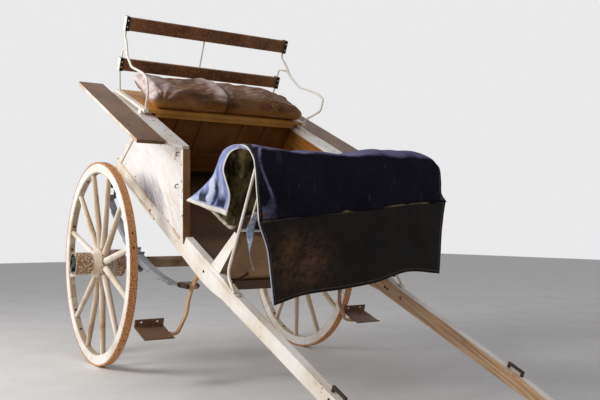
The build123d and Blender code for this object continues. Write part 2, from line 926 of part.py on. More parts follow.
# Arm irons: from the seat's front corner out, back and up to the top rail, with a branch
# to the lower rail; columns are forward, out from the seat's end piece, up from its top,
# and the bend's radius
arm_shape = (
    (-88, 0, 2, 0),
    (-84, 6, 22, 14),
    (10, 42, 114, 34),
    (-9, 54, 188, 30),
    (-79, 50, 205, 300),
    (-312, 42, 185, 120),
    (-422, 36, 222, 40),
    (-512, 24, 289, 12),
)
iron_middle = back_rail_half + rail_iron_width / 2
arm_end_u = rail_middle_u - rail_iron_set_back
arm_foot_top = seat_top(arm_shape[0][0])
arm_route = [
    cart_point(ahead, -(seat_end_middle + out), arm_foot_top + rise) for ahead, out, rise, bend in arm_shape
]
arm_route.append(cart_point(arm_end_u, -iron_middle, top_rail_low - rail_iron_over - arm_upright))
arm_route.append(cart_point(arm_end_u, -iron_middle, top_rail_low - rail_iron_over))
arm_bends = [bend for ahead, out, rise, bend in arm_shape[1:]] + [arm_upright - 4]
# The branch leaves the arm iron near its last bend; same columns
branch_shape = (
    (-405, 37, 216),
    (-490, 34, 246),
)
branch_bends = (30, 24)
branch_peak = 50                 # the branch rises this far above the lower rail's socket
branch_route = [
    cart_point(ahead, -(seat_end_middle + out), arm_foot_top + rise) for ahead, out, rise in branch_shape
]
branch_route.append(cart_point(arm_end_u, -iron_middle, lower_rail_high + rail_iron_over + branch_peak))
branch_route.append(cart_point(arm_end_u, -iron_middle, lower_rail_high + rail_iron_over))
with BuildPart() as arm_irons:
    with BuildLine() as arm_line:
        FilletPolyline(*arm_route, radius=arm_bends)
    with BuildSketch(Plane(origin=arm_line.line @ 0, z_dir=arm_line.line % 0)):
        Circle(arm_iron_radius)
    sweep(path=arm_line.line)
    with BuildLine() as branch_line:
        FilletPolyline(*branch_route, radius=branch_bends)
    with BuildSketch(Plane(origin=branch_line.line @ 0, z_dir=branch_line.line % 0)):
        Circle(arm_branch_radius)
    sweep(path=branch_line.line)
    mirror(about=side_frame)
finish(arm_irons, "arm_irons")

with BuildPart() as back_stays:
    with BuildSketch(plan_plane(seat_top(rail_middle_u + back_stay_radius))):
        with Locations((rail_middle_u, -seat_end_middle)):
            Circle(back_stay_radius)
    with BuildSketch(plan_plane(lower_rail_low - rail_iron_over)):
        with Locations((arm_end_u, -iron_middle)):
            Circle(back_stay_radius)
    loft()
    mirror(about=side_frame)
finish(back_stays, "back_stays")

# Toe board: leaning side pieces on the shafts with planks between
with BuildPart() as toe_stiles:
    with BuildSketch(side_plane(-shaft_inner)):
        with BuildLine():
            Polyline(
                (toe_foot_back, rail_shoulder_top),
                (toe_foot_front, rail_shoulder_top),
                (toe_top_front, toe_top),
                (toe_top_back, toe_top),
                close=True,
            )
        make_face()
    extrude(amount=toe_stile_width)
    mirror(about=side_frame)
finish(toe_stiles, "toe_stiles")

toe_row = (toe_plank_high - toe_plank_low) / toe_plank_rows
with BuildPart() as toe_planks:
    with BuildSketch(side_plane(shaft_inner - toe_side_gap)):
        for row in range(toe_plank_rows):
            low = toe_plank_low + row * toe_row + (1 if row else 0)
            high = toe_plank_low + (row + 1) * toe_row
            with BuildLine():
                Polyline(
                    (toe_front(low) - toe_plank_inset, low),
                    (toe_front(high) - toe_plank_inset, high),
                    (toe_front(high) - toe_plank_inset - toe_plank_thickness, high),
                    (toe_front(low) - toe_plank_inset - toe_plank_thickness, low),
                    close=True,
                )
            make_face()
    extrude(amount=2 * (shaft_inner - toe_side_gap))
finish(toe_planks, "toe_planks")

# Dash: iron frame with a leather panel, on curved stays to the shafts
dash_half = shaft_inner + toe_stile_width + dash_clearance + dash_rod_radius
dash_inner_rod = dash_half - dash_rod_spacing
dash_direction = (forward * dash_lean + up).normalized()
dash_plane = Plane(
    origin=cart_point(dash_foot_station, 0, dash_foot),
    x_dir=(0, 1, 0),
    z_dir=forward - up * dash_lean,
)
dash_scale = math.hypot(1, dash_lean)
frame_low = (dash_low - dash_foot) * dash_scale
frame_high = (dash_top - dash_foot) * dash_scale
stay_foot = shaft_line(stay_foot_station) + shaft_half(stay_foot_station) + stay_foot_plate
stay_route = (
    (dash_line(dash_foot - seat_gap), dash_foot - seat_gap),
    (dash_line(dash_foot - stay_straight), dash_foot - stay_straight),
    (dash_foot_station - stay_bend_back, dash_foot - stay_bend_drop),
    (stay_foot_station, stay_foot),
)
with BuildPart() as dash_frame:
    with BuildLine(dash_plane) as hoop_line:
        FilletPolyline(
            (-dash_half, 0),
            (-dash_half, frame_high),
            (dash_half, frame_high),
            (dash_half, 0),
            radius=dash_corner,
        )
    with BuildSketch(Plane(origin=hoop_line.line @ 0, z_dir=hoop_line.line % 0)):
        Circle(dash_rod_radius)
    sweep(path=hoop_line.line)
    with BuildSketch(Plane(origin=dash_plane.from_local_coords((-dash_half, frame_low, 0)), z_dir=(0, 1, 0))):
        Circle(dash_bar_radius)
    extrude(amount=2 * dash_half)
    for place in (-dash_inner_rod, dash_inner_rod):
        with BuildSketch(Plane(origin=dash_plane.from_local_coords((place, frame_low, 0)), z_dir=dash_direction)):
            Circle(dash_bar_radius - 1)
        extrude(amount=frame_high - frame_low)
finish(dash_frame, "dash_frame")

with BuildPart() as dash_panel:
    with BuildSketch(dash_plane):
        with Locations((0, (frame_low + frame_high) / 2)):
            Rectangle(2 * (dash_inner_rod - dash_rod_radius) - 1, frame_high - frame_low - 2 * dash_rod_radius - 1)
    extrude(amount=dash_leather / 2, both=True)
finish(dash_panel, "dash_panel")

with BuildPart() as dash_stays:
    with BuildLine(side_plane(-dash_half)) as stay_line:
        FilletPolyline(*stay_route, radius=stay_bends)
    with BuildSketch(Plane(origin=stay_line.line @ 0, z_dir=stay_line.line % 0)):
        Circle(dash_rod_radius)
    sweep(path=stay_line.line)
    with BuildSketch(side_plane(-(dash_half + dash_rod_radius - stay_foot_width))):
        plate_ends = (stay_foot_station - stay_foot_length / 3, stay_foot_station + stay_foot_length * 2 / 3)
        with BuildLine():
            Polyline(
                *((end, shaft_line(end) + shaft_half(end)) for end in plate_ends),
                *((end, shaft_line(end) + shaft_half(end) + stay_foot_plate) for end in plate_ends[::-1]),
                close=True,
            )
        make_face()
    extrude(amount=stay_foot_width)
    mirror(about=side_frame)
finish(dash_stays, "dash_stays")

# Springs over the axle: a pack of leaves with rolled eyes
leaf_count = len(leaf_shares)
pack_top = axle_section / 2 + spring_pad + leaf_count * leaf_thickness
front_radius = (spring_front_half**2 + spring_front_rise**2) / (2 * spring_front_rise)
rear_radius = (spring_rear_half**2 + spring_rear_rise**2) / (2 * spring_rear_rise)


def spring_point(side, radius, angle, drop):
    """A point of a leaf: angle along the bend, drop below the main leaf's top."""
    reach = radius + drop
    return (side * reach * math.sin(angle), pack_top + radius - reach * math.cos(angle))


def leaf_ends(radius, half):
    return [math.asin(half * share / radius) for share in leaf_shares]


def pack_half(side, radius, half):
    """Outline of one half of the pack, from its top middle round to its bottom middle."""
    ends = leaf_ends(radius, half)
    ThreePointArc(*(spring_point(side, radius, ends[0] * share, 0) for share in (0, 0.5, 1)))
    for leaf, angle in enumerate(ends):
        inner = ends[leaf + 1] if leaf + 1 < leaf_count else 0
        over = leaf * leaf_thickness
        under = (leaf + 1) * leaf_thickness
        Line(spring_point(side, radius, angle, over), spring_point(side, radius, angle, under))
        ThreePointArc(*(
            spring_point(side, radius, place, under) for place in (angle, (angle + inner) / 2, inner)
        ))


def eye_place(side, radius, half):
    angle = math.asin(half / radius)
    return spring_point(side, radius, angle, leaf_thickness - eye_radius)


front_eye = eye_place(1, front_radius, spring_front_half)
rear_eye = eye_place(-1, rear_radius, spring_rear_half)
with BuildPart() as leaf_springs:
    with BuildSketch(side_plane(-(shaft_middle - spring_width / 2))):
        with BuildLine():
            pack_half(1, front_radius, spring_front_half)
            pack_half(-1, rear_radius, spring_rear_half)
        make_face()
        with Locations(front_eye, rear_eye):
            Circle(eye_radius)
        with Locations(front_eye, rear_eye):
            Circle(eye_pin_radius + running_clearance, mode=Mode.SUBTRACT)
    extrude(amount=spring_width)
    mirror(about=side_frame)
finish(leaf_springs, "leaf_springs")

# Clips that hold the springs on the axle
pad_top = axle_section / 2 + spring_pad
clip_low = -axle_section / 2 - clip_plate
clip_bolt_out = spring_width / 2 + clip_bolt_radius + link_plate_gap
with BuildPart() as spring_clips:
    with BuildSketch(plan_plane(axle_section / 2)):
        with Locations((0, -shaft_middle)):
            Rectangle(2 * (clip_half - clip_pad_short), spring_width)
    extrude(amount=spring_pad - 0.2)
    with BuildSketch(plan_plane(clip_low)):
        with Locations((0, -shaft_middle)):
            Rectangle(2 * (clip_half + clip_plate_over), 2 * (clip_bolt_out + clip_plate_side))
    extrude(amount=clip_plate)
    with BuildSketch(plan_plane(clip_low - clip_bolt_below)):
        with Locations((0, -shaft_middle)):
            with GridLocations(2 * clip_half, 2 * clip_bolt_out, 2, 2):
                Circle(clip_bolt_radius)
    extrude(amount=pack_top + clip_strap_height - 2 - clip_low + clip_bolt_below)
    with BuildSketch(plan_plane(clip_low - clip_nut_height)):
        with Locations((0, -shaft_middle)):
            with GridLocations(2 * clip_half, 2 * clip_bolt_out, 2, 2):
                RegularPolygon(clip_nut_radius, 6)
    extrude(amount=clip_nut_height)
    with BuildSketch(plan_plane(pack_top + clip_strap_gap)):
        with Locations((0, -shaft_middle)):
            with GridLocations(2 * clip_half, 0, 2, 1):
                Rectangle(2 * clip_bolt_radius, 2 * clip_bolt_out + 2 * clip_bolt_radius)
    extrude(amount=clip_strap_height)
    mirror(about=side_frame)
finish(spring_clips, "spring_clips")

# Front links: pairs of plates from the springs' front eyes to the step hangers
fork_out = spring_width / 2 + link_plate_gap
pin_half = fork_out + link_plate + pin_overhang
link_reach = Vector(hanger_pin_station - front_eye[0], hanger_pin_height - front_eye[1])
link_angle = math.degrees(math.atan2(link_reach.Y, link_reach.X))
link_middle = ((front_eye[0] + hanger_pin_station) / 2, (front_eye[1] + hanger_pin_height) / 2)
with BuildPart() as spring_links:
    for plate_start in (shaft_middle - fork_out - link_plate, shaft_middle + fork_out):
        with BuildSketch(side_plane(-plate_start)):
            with Locations(link_middle):
                SlotCenterToCenter(link_reach.length, link_width, rotation=link_angle)
        extrude(amount=link_plate)
    with BuildSketch(side_plane(-(shaft_middle - pin_half))):
        with Locations(front_eye, (hanger_pin_station, hanger_pin_height)):
            Circle(eye_pin_radius)
    extrude(amount=2 * pin_half)
    mirror(about=side_frame)
finish(spring_links, "spring_links")

# Back scroll irons and the shackles that swing from them
shackle_top = (rear_eye[0], rear_eye[1] + shackle_length)
scroll_foot = rail_back_end + scroll_foot_length
scroll_turn = rail_back_end + scroll_foot_bend
scroll_route = (
    (scroll_foot, rail_bottom(scroll_foot) - scroll_thickness / 2 - seat_gap),
    (scroll_turn, rail_bottom(scroll_turn) - scroll_thickness / 2 - seat_gap),
    (rear_eye[0] - scroll_reach, rail_bottom(rail_back_end) - scroll_drop),
    (shackle_top[0] - scroll_end_back, shackle_top[1] + scroll_end_rise),
)
with BuildPart() as back_scrolls:
    with BuildLine(side_plane(-shaft_middle)) as scroll_line:
        FilletPolyline(*scroll_route, radius=scroll_bend)
    with BuildSketch(
        Plane(origin=scroll_line.line @ 0, x_dir=(0, 1, 0), z_dir=scroll_line.line % 0)
    ):
        Rectangle(spring_width, scroll_thickness)
    sweep(path=scroll_line.line)
    with BuildSketch(side_plane(-(shaft_middle - spring_width / 2))):
        with Locations(shackle_top):
            Circle(eye_radius)
    extrude(amount=spring_width)
    with BuildSketch(side_plane(-(shaft_middle - spring_width / 2))):
        with Locations(shackle_top):
            Circle(eye_pin_radius + running_clearance)
    extrude(amount=spring_width, mode=Mode.SUBTRACT)
    mirror(about=side_frame)
finish(back_scrolls, "back_scrolls")

with BuildPart() as shackles:
    for plate_start in (shaft_middle - fork_out - link_plate, shaft_middle + fork_out):
        with BuildSketch(side_plane(-plate_start)):
            with Locations((rear_eye[0], (rear_eye[1] + shackle_top[1]) / 2)):
                SlotCenterToCenter(shackle_length, shackle_width, rotation=90)
        extrude(amount=link_plate)
    with BuildSketch(side_plane(-(shaft_middle - pin_half))):
        with Locations(rear_eye, shackle_top):
            Circle(eye_pin_radius)
    extrude(amount=2 * pin_half)
    mirror(about=side_frame)
finish(shackles, "shackles")

# Steps: hanging irons that curve out under a tilted plate each
step_cos = math.cos(math.radians(step_tilt))
step_sin = math.sin(math.radians(step_tilt))
step_forward = forward * step_cos + up * step_sin
step_up = up * step_cos - forward * step_sin
step_corner = cart_point(step_back, 0, step_height)
step_middle = (step_inner + step_outer) / 2


def step_point(along, y, rise):
    """World place of a point given from the step's back edge, along it and above its top."""
    return step_corner + step_forward * along + step_up * rise + Vector(0, y, 0)


def step_plane(along, out, rise):
    """Plane across the cart at the right step: local x along the step, local y up from it."""
    return Plane(origin=step_point(along, -out, rise), x_dir=step_forward, z_dir=(0, -1, 0))


hanger_low = step_plate + hanger_flat / 2
hanger_top = rail_bottom(hanger_top_station) - hanger_foot * 0.7
hanger_end = step_length * hanger_end_share
# Columns are station, out from the shaft's middle, height and the bend's radius
hanger_shape = (
    (hanger_top_station, 0, hanger_top, 0),
    (hanger_pin_station, 0, hanger_pin_height, 120),
    (hanger_pin_station - 6, 4, 180, 120),
    (hanger_pin_station + 16, 12, 104, 90),
)
hanger_route = [
    cart_point(station, -(shaft_middle + out), height) for station, out, height, bend in hanger_shape
]
hanger_route.append(step_point(hanger_end, -(step_inner - hanger_turn), -hanger_low))
hanger_route.append(step_point(hanger_end, -(step_inner - hanger_turn_end), -hanger_low))
hanger_bends = [bend for station, out, height, bend in hanger_shape[1:]] + [hanger_turn_bend]
with BuildPart() as step_hangers:
    with BuildLine() as hanger_line:
        FilletPolyline(*hanger_route, radius=hanger_bends)
    with BuildSketch(Plane(origin=hanger_line.line @ 0, x_dir=(0, 1, 0), z_dir=hanger_line.line % 0)):
        RectangleRounded(hanger_thickness, hanger_width, 5)
    sweep(path=hanger_line.line)
    with BuildSketch(step_plane(hanger_end, step_inner - hanger_flat_inside, -hanger_low)):
        Rectangle(hanger_width + hanger_flat_over, hanger_flat)
    extrude(amount=step_outer - step_inner)
    with BuildSketch(side_plane(-(shaft_middle - hanger_thickness))):
        with BuildLine():
            foot_ends = (hanger_top_station - hanger_foot_back, hanger_top_station + hanger_foot_front)
            Polyline(
                *((end, rail_bottom(end)) for end in foot_ends),
                *((end, rail_bottom(end) - hanger_foot) for end in foot_ends[::-1]),
                close=True,
            )
        make_face()
    extrude(amount=2 * hanger_thickness)
    with BuildSketch(side_plane(-(shaft_middle - fork_out + link_plate_gap))):
        with Locations((hanger_pin_station, hanger_pin_height)):
            Circle(hanger_width / 2 + hanger_boss)
    extrude(amount=spring_width)
    with BuildSketch(side_plane(-(shaft_middle - fork_out))):
        with Locations((hanger_pin_station, hanger_pin_height)):
            Circle(eye_pin_radius + running_clearance)
    extrude(amount=2 * fork_out, mode=Mode.SUBTRACT)
    mirror(about=side_frame)
finish(step_hangers, "step_hangers")

with BuildPart() as step_plates:
    with BuildSketch(step_plane(0, step_inner, 0)):
        with BuildLine():
            Polyline(
                (0, step_upstand),
                (0, -step_plate),
                (step_length, -step_plate),
                (step_length + step_lip, step_lip / 2 - step_plate / 2),
                (step_length + step_lip / 2, step_lip - step_plate / 2),
                (step_length - 2, 0),
                (step_plate, 0),
                (step_plate, step_upstand),
                close=True,
            )
        make_face()
    extrude(amount=step_outer - step_inner)
    lip_face = step_point(0, -step_middle, step_upstand * step_hole_share)
    with BuildSketch(Plane(origin=lip_face, x_dir=(0, 1, 0), z_dir=step_forward)):
        with GridLocations(2 * step_hole_spread, 0, 2, 1):
            Circle(step_hole_radius)
    extrude(amount=step_plate, mode=Mode.SUBTRACT)
    mirror(about=side_frame)
finish(step_plates, "step_plates")

# Apron: a heavy sheet over the dash, with its back part hanging behind
bar_top = cart_point(dash_line(dash_top), 0, dash_top)
apron_x = bar_top.X + dash_rod_radius + apron_gap
apron_top_height = bar_top.Z + dash_rod_radius + apron_gap + apron_thickness
# Columns are share of the dash's half width, to the left, and drop below the top
apron_shape = (
    (-1.054, 0),
    (-1.028, 331),
    (-0.885, 696),
    (-0.549, 659),
    (0.264, 619),
    (0.666, 574),
    (1.02, 593),
    (1.149, 236),
    (1.097, 106),
    (1.054, 0),
)
apron_half = apron_shape[-1][0] * dash_half
apron_outline = [(share * dash_half, apron_top_height - drop) for share, drop in apron_shape]
with BuildPart() as apron_front:
    with BuildSketch(Plane(origin=(apron_x, 0, 0), x_dir=(0, 1, 0), z_dir=(1, 0, 0))):
        with BuildLine():
            Polyline(*apron_outline, close=True)
        make_face()
    extrude(amount=apron_thickness)
    with BuildSketch(Plane(origin=(0, apron_half, 0), x_dir=(1, 0, 0), z_dir=(0, -1, 0))):
        with BuildLine():
            Polyline(
                (apron_x + apron_thickness, apron_top_height),
                (apron_x + apron_thickness, apron_top_height - apron_thickness),
                (apron_x - apron_back_reach, apron_top_height - apron_thickness + apron_back_rise),
                (apron_x - apron_back_reach, apron_top_height + apron_back_rise),
                close=True,
            )
        make_face()
    extrude(amount=2 * apron_half)
finish(apron_front, "apron_front")

flap_x = apron_x - apron_back_reach
flap_z = apron_top_height - apron_thickness + apron_back_rise
apron_slope = apron_back_rise / (apron_back_reach + apron_thickness)
flap_half = apron_half - flap_inset
flap_foot_x = flap_x + flap_thickness - flap_back
# The near corner is a sheet of its own between the flap's side edge and a tip pulled backwards
corner_top = Vector(flap_x + flap_thickness / 2, -flap_half + flap_thickness, flap_z - flap_thickness)
corner_tip = corner_top + Vector(-corner_back, -corner_out, -corner_drop)
corner_low = Vector(flap_foot_x - flap_thickness / 2, -flap_half + flap_thickness * 2, flap_z - flap_drop)
corner_plane = Plane(
    origin=corner_top,
    x_dir=corner_tip - corner_top,
    z_dir=(corner_low - corner_top).cross(corner_tip - corner_top),
)
corner_points = [
    tuple(corner_plane.to_local_coords(point))[:2] for point in (corner_top, corner_tip, corner_low)
]
with BuildPart() as apron_flap:
    with BuildSketch(Plane(origin=(0, flap_half, 0), x_dir=(1, 0, 0), z_dir=(0, -1, 0))):
        with BuildLine():
            Polyline(
                (flap_x, flap_z),
                (flap_x + flap_thickness, flap_z - flap_thickness * apron_slope),
                (flap_foot_x, flap_z - flap_drop),
                (flap_foot_x - flap_thickness, flap_z - flap_drop),
                close=True,
            )
        make_face()
    extrude(amount=2 * flap_half)
    with BuildSketch(corner_plane):
        with BuildLine():
            Polyline(*corner_points, close=True)
        make_face()
    extrude(amount=flap_thickness)
finish(apron_flap, "apron_flap")

# Braces from the dash's stays to the toe board
stay_above = stay_foot + 5 * brace_radius
stay_share = (stay_above - stay_foot) / (stay_route[2][1] - stay_foot)
stay_station = stay_foot_station + (stay_route[2][0] - stay_foot_station) * stay_share
brace_height = toe_plank_low + brace_rise
stay_place = cart_point(stay_station, -dash_half, stay_above)
brace_end = cart_point(toe_front(brace_height) - toe_plank_inset + brace_radius, -brace_place, brace_height)
brace_foot = stay_place + (brace_end - stay_place).normalized() * (dash_rod_radius + brace_radius)
with BuildPart() as toe_braces:
    with BuildSketch(Plane(origin=brace_foot, z_dir=brace_end - brace_foot)):
        Circle(brace_radius)
    extrude(amount=(brace_end - brace_foot).length)
    mirror(about=side_frame)
finish(toe_braces, "toe_braces")

print(f"tilt {math.degrees(tilt):.3f} deg, axle x {axle_x:.3f}, tip front {tip_front:.3f}")
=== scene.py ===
# %% [markdown]
# # An old gig, parked on its shafts
# This lesson dresses a two-wheeled horse-drawn gig. Its wood and iron come ready-made from the CAD
# model, at their true size. Blender adds what a solid can't show: worn paint, rust, grain, bolts and
# stitches, a slack leather cushion, and a heavy apron that somebody threw over the dash.

# %% Load the model and keep its size
import json
import math

import bpy
import numpy as np
from mathutils import Euler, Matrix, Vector, noise


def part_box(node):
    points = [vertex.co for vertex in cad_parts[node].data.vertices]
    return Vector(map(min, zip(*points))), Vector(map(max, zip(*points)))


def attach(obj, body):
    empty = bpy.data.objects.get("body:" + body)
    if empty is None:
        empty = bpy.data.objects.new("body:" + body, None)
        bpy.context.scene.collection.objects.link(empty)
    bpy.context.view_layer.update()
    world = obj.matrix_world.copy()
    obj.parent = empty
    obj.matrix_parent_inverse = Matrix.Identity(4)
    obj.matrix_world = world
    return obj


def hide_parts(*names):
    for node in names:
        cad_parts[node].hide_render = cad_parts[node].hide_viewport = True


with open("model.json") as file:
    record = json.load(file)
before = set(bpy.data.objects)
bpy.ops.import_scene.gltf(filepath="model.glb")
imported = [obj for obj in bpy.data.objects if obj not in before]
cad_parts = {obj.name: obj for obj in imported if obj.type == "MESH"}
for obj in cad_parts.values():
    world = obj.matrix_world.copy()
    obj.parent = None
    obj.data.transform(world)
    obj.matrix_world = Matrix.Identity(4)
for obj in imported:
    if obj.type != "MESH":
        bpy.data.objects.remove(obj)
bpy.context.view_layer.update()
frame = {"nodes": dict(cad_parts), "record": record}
nodes = frame["nodes"]

# %% [markdown]
# The gig leans forward, and its boards, grain and folds follow the cart, not the floor. So most
# places below are given in the cart's own directions: forward, left and up, from the axle's middle.
# The axle's place is read from a tyre and the lean from the way that the floor boards face, because
# numbers that are read from the model can't drift away from it.

# %% The cart's own directions
low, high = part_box("tyre_right")
axle = Vector(((low[0] + high[0]) / 2, 0, (low[2] + high[2]) / 2))
floor_up = next(m["axis"] for m in frame["record"]["mounts"] if m["name"] == "floor_face")
lean = math.atan2(floor_up[0], floor_up[2])
forward = Vector((math.cos(lean), 0, -math.sin(lean)))
upward = Vector((math.sin(lean), 0, math.cos(lean)))
leftward = Vector((0, 1, 0))


def cart(ahead, left, above):
    """World place, in metres, of a point given in millimetres along the cart's own directions."""
    return axle + (forward * ahead + leftward * left + upward * above) / 1000


print("axle", [round(c, 4) for c in axle], "lean", round(math.degrees(lean), 2), "degrees")

# %% [markdown]
# A photograph's look depends on where the camera stood. This one stood low, ahead of the gig and to
# its right, and looked back at it a little upwards. Its lens is found as a length in pixels of a
# picture 600 pixels wide, and Blender wants it in millimetres on a sensor of 36.

# %% Camera
stands_from_axle = Vector((4.4926, -2.1757, 0.2068))
turn, pitch = math.radians(32.74), math.radians(2.11)
focal_pixels, picture_pixels, sensor_mm = 768.4, 600, 36
camera_data = bpy.data.cameras.new("photo_camera")
camera = bpy.data.objects.new("photo_camera", camera_data)
bpy.context.scene.collection.objects.link(camera)
camera.location = axle + stands_from_axle
aim = Vector((-math.cos(turn) * math.cos(pitch), math.sin(turn) * math.cos(pitch), math.sin(pitch)))
camera.rotation_euler = aim.to_track_quat("-Z", "Y").to_euler()
camera_data.lens = focal_pixels / picture_pixels * sensor_mm
camera_data.clip_end = 60
bpy.context.scene.camera = camera
print("lens", round(camera_data.lens, 2), "mm")

# %% [markdown]
# Each finish below is a formula: noise along the grain, a mask for wear, and colours between them.
# Written as nodes by hand that is a long list of sockets. The small class here lets Python's own
# signs build the Math nodes, and one method makes every other kind of node.

# %% A way to write shader formulas
class Value:
    """One output of a shader node. Signs between values add the Math nodes of the table below."""

    def __init__(self, finish, socket):
        self.finish = finish
        self.socket = socket

    def math(self, operation, first, second=0.5):
        return self.finish.node("ShaderNodeMath", {"operation": operation}, {0: first, 1: second})

    def __rsub__(self, other):
        return self.math("SUBTRACT", other, self)


signs = {
    "__add__": "ADD", "__radd__": "ADD", "__sub__": "SUBTRACT", "__mul__": "MULTIPLY", "__rmul__": "MULTIPLY",
    "__truediv__": "DIVIDE", "__gt__": "GREATER_THAN", "__lt__": "LESS_THAN", "most": "MAXIMUM",
    "repeat": "MODULO", "size": "ABSOLUTE", "root": "SQRT", "sine": "SINE",
}
for sign, operation in signs.items():
    setattr(Value, sign, lambda first, second=0.5, kind=operation: first.math(kind, first, second))


def tone(code):
    """A colour written as on paper, #rrggbb, made linear for the shader."""
    parts = [int(code[place : place + 2], 16) / 255 for place in (1, 3, 5)]
    return tuple(c / 12.92 if c <= 0.04045 else ((c + 0.055) / 1.055) ** 2.4 for c in parts) + (1.0,)


class Finish:
    """A material whose formula is written with values."""

    def __init__(self, name, roughness=0.6, metallic=0.0, shine=0.3):
        self.material = bpy.data.materials.new(name)
        self.material.use_nodes = True
        self.tree = self.material.node_tree
        self.tree.nodes.clear()
        self.shader = self.tree.nodes.new("ShaderNodeBsdfPrincipled")
        output = self.tree.nodes.new("ShaderNodeOutputMaterial")
        self.tree.links.new(self.shader.outputs[0], output.inputs[0])
        self.shader.inputs["Roughness"].default_value = roughness
        self.shader.inputs["Metallic"].default_value = metallic
        self.shader.inputs["Specular IOR Level"].default_value = shine
        self.place = self.node("ShaderNodeTexCoord", output="Object")

    def node(self, kind, settings=None, inputs=None, output=0):
        made = self.tree.nodes.new(kind)
        for name, value in (settings or {}).items():
            if name == "stops":
                ramp = made.color_ramp
                while len(ramp.elements) < len(value):
                    ramp.elements.new(0.5)
                for element, (position, colour) in zip(ramp.elements, value):
                    element.position = position
                    element.color = colour
            else:
                setattr(made, name, value)
        for key, value in (inputs or {}).items():
            if isinstance(value, Value):
                self.tree.links.new(value.socket, made.inputs[key])
            else:
                made.inputs[key].default_value = value
        return Value(self, made.outputs[output])

    def stretch(self, place, amounts):
        return self.node("ShaderNodeVectorMath", {"operation": "MULTIPLY"}, {0: place, 1: amounts})

    def axes(self, place):
        split = self.tree.nodes.new("ShaderNodeSeparateXYZ")
        self.tree.links.new(place.socket, split.inputs[0])
        return [Value(self, socket) for socket in split.outputs]

    def join(self, x, y, z):
        return self.node("ShaderNodeCombineXYZ", None, {0: x, 1: y, 2: z})

    def noise(self, place, scale, detail=4.0, roughness=0.55):
        values = {"Vector": place, "Scale": scale, "Detail": detail, "Roughness": roughness}
        return self.node("ShaderNodeTexNoise", None, values)

    def cells(self, place, scale, feature="F1"):
        return self.node("ShaderNodeTexVoronoi", {"feature": feature}, {"Vector": place, "Scale": scale})

    def between(self, value, start, end):
        settings = {"clamp": True}
        return self.node("ShaderNodeMapRange", settings, {0: value, 1: start, 2: end, 3: 0.0, 4: 1.0})

    def ramp(self, value, *stops):
        return self.node("ShaderNodeValToRGB", {"stops": [(p, tone(c)) for p, c in stops]}, {0: value})

    def mix(self, share, first, second):
        first = tone(first) if isinstance(first, str) else first
        second = tone(second) if isinstance(second, str) else second
        return self.node("ShaderNodeMix", {"data_type": "RGBA"}, {0: share, 6: first, 7: second}, output=2)

    def cart_place(self):
        """Object coordinates turned to the cart's own directions, in metres from the axle."""
        start = (-(axle @ forward), 0, -(axle @ upward))
        values = {"Vector": self.place, "Location": start, "Rotation": (0, -lean, 0)}
        return self.node("ShaderNodeMapping", {"vector_type": "POINT"}, values)

    def wheel_place(self, joint):
        """Distance from the axle, turns round it from behind a joint of the rim, and place along it."""
        turn = math.radians(joint + 180)
        start = Vector((axle.x, 0, axle.z))
        start.rotate(Euler((0, turn, 0)))
        values = {"Vector": self.place, "Location": -start, "Rotation": (0, turn, 0)}
        x, y, z = self.axes(self.node("ShaderNodeMapping", {"vector_type": "POINT"}, values))
        return (x * x + z * z).root(), z.math("ARCTAN2", z, x) / (2 * math.pi), y

    def facing(self):
        """The surface's own direction, as three values."""
        return self.axes(self.node("ShaderNodeTexCoord", output="Normal"))

    def kept(self, *names):
        """Numbers that the mesh keeps on its points."""
        return [self.node("ShaderNodeAttribute", {"attribute_name": name}, output="Fac") for name in names]

    def edges(self, reach):
        """1 along edges and corners, 0 on flats: how far a rounded normal departs from the true one."""
        rounded = self.node("ShaderNodeBevel", {"samples": 4}, {"Radius": reach})
        true = self.node("ShaderNodeNewGeometry", output="True Normal")
        settings, values = {"operation": "DOT_PRODUCT"}, {0: rounded, 1: true}
        return self.between(self.node("ShaderNodeVectorMath", settings, values, output="Value"), 0.995, 0.86)

    def feed(self, socket, value):
        self.tree.links.new(value.socket, self.shader.inputs[socket])

    def bump(self, height, strength, distance):
        values = {"Strength": strength, "Distance": distance, "Height": height}
        self.feed("Normal", self.node("ShaderNodeBump", None, values))


print("formula class ready; #808080 is", [round(c, 3) for c in tone("#808080")])

# %% [markdown]
# Old paint on a cart is thick, cracked and dirty. It wears off first at the edges and where boots and
# hands rub, and the bare wood under it goes brown. One recipe serves all the painted wood. It takes
# the paint's colours, the wood's colours, the way that the grain runs, and how much is worn. Where a
# piece has more to show, such as white paint on its outer side only, a small function changes the
# coat. The limits in these functions are metres in the cart's own directions.

# %% Worn paint on wood
grain_ways = {"ahead": (1.6, 34, 34), "across": (34, 1.6, 34), "above": (30, 30, 1.8)}
joint_turns = {"left": 40.0, "right": 25.7}  # degrees from straight ahead to a joint of each rim
rim_stretch = 3.5  # makes one turn of the wheel as long to the noise as the rim is, in metres
rim_parts = 6


def places(made, way):
    """The place that a finish follows: the cart's directions, a wheel's rim and spokes, or a hub."""
    if way == "hub":
        return made.place
    if way in joint_turns:
        reach, turn, across = made.wheel_place(joint_turns[way])
        return made.join(reach, turn * rim_stretch, across)
    return made.cart_place()


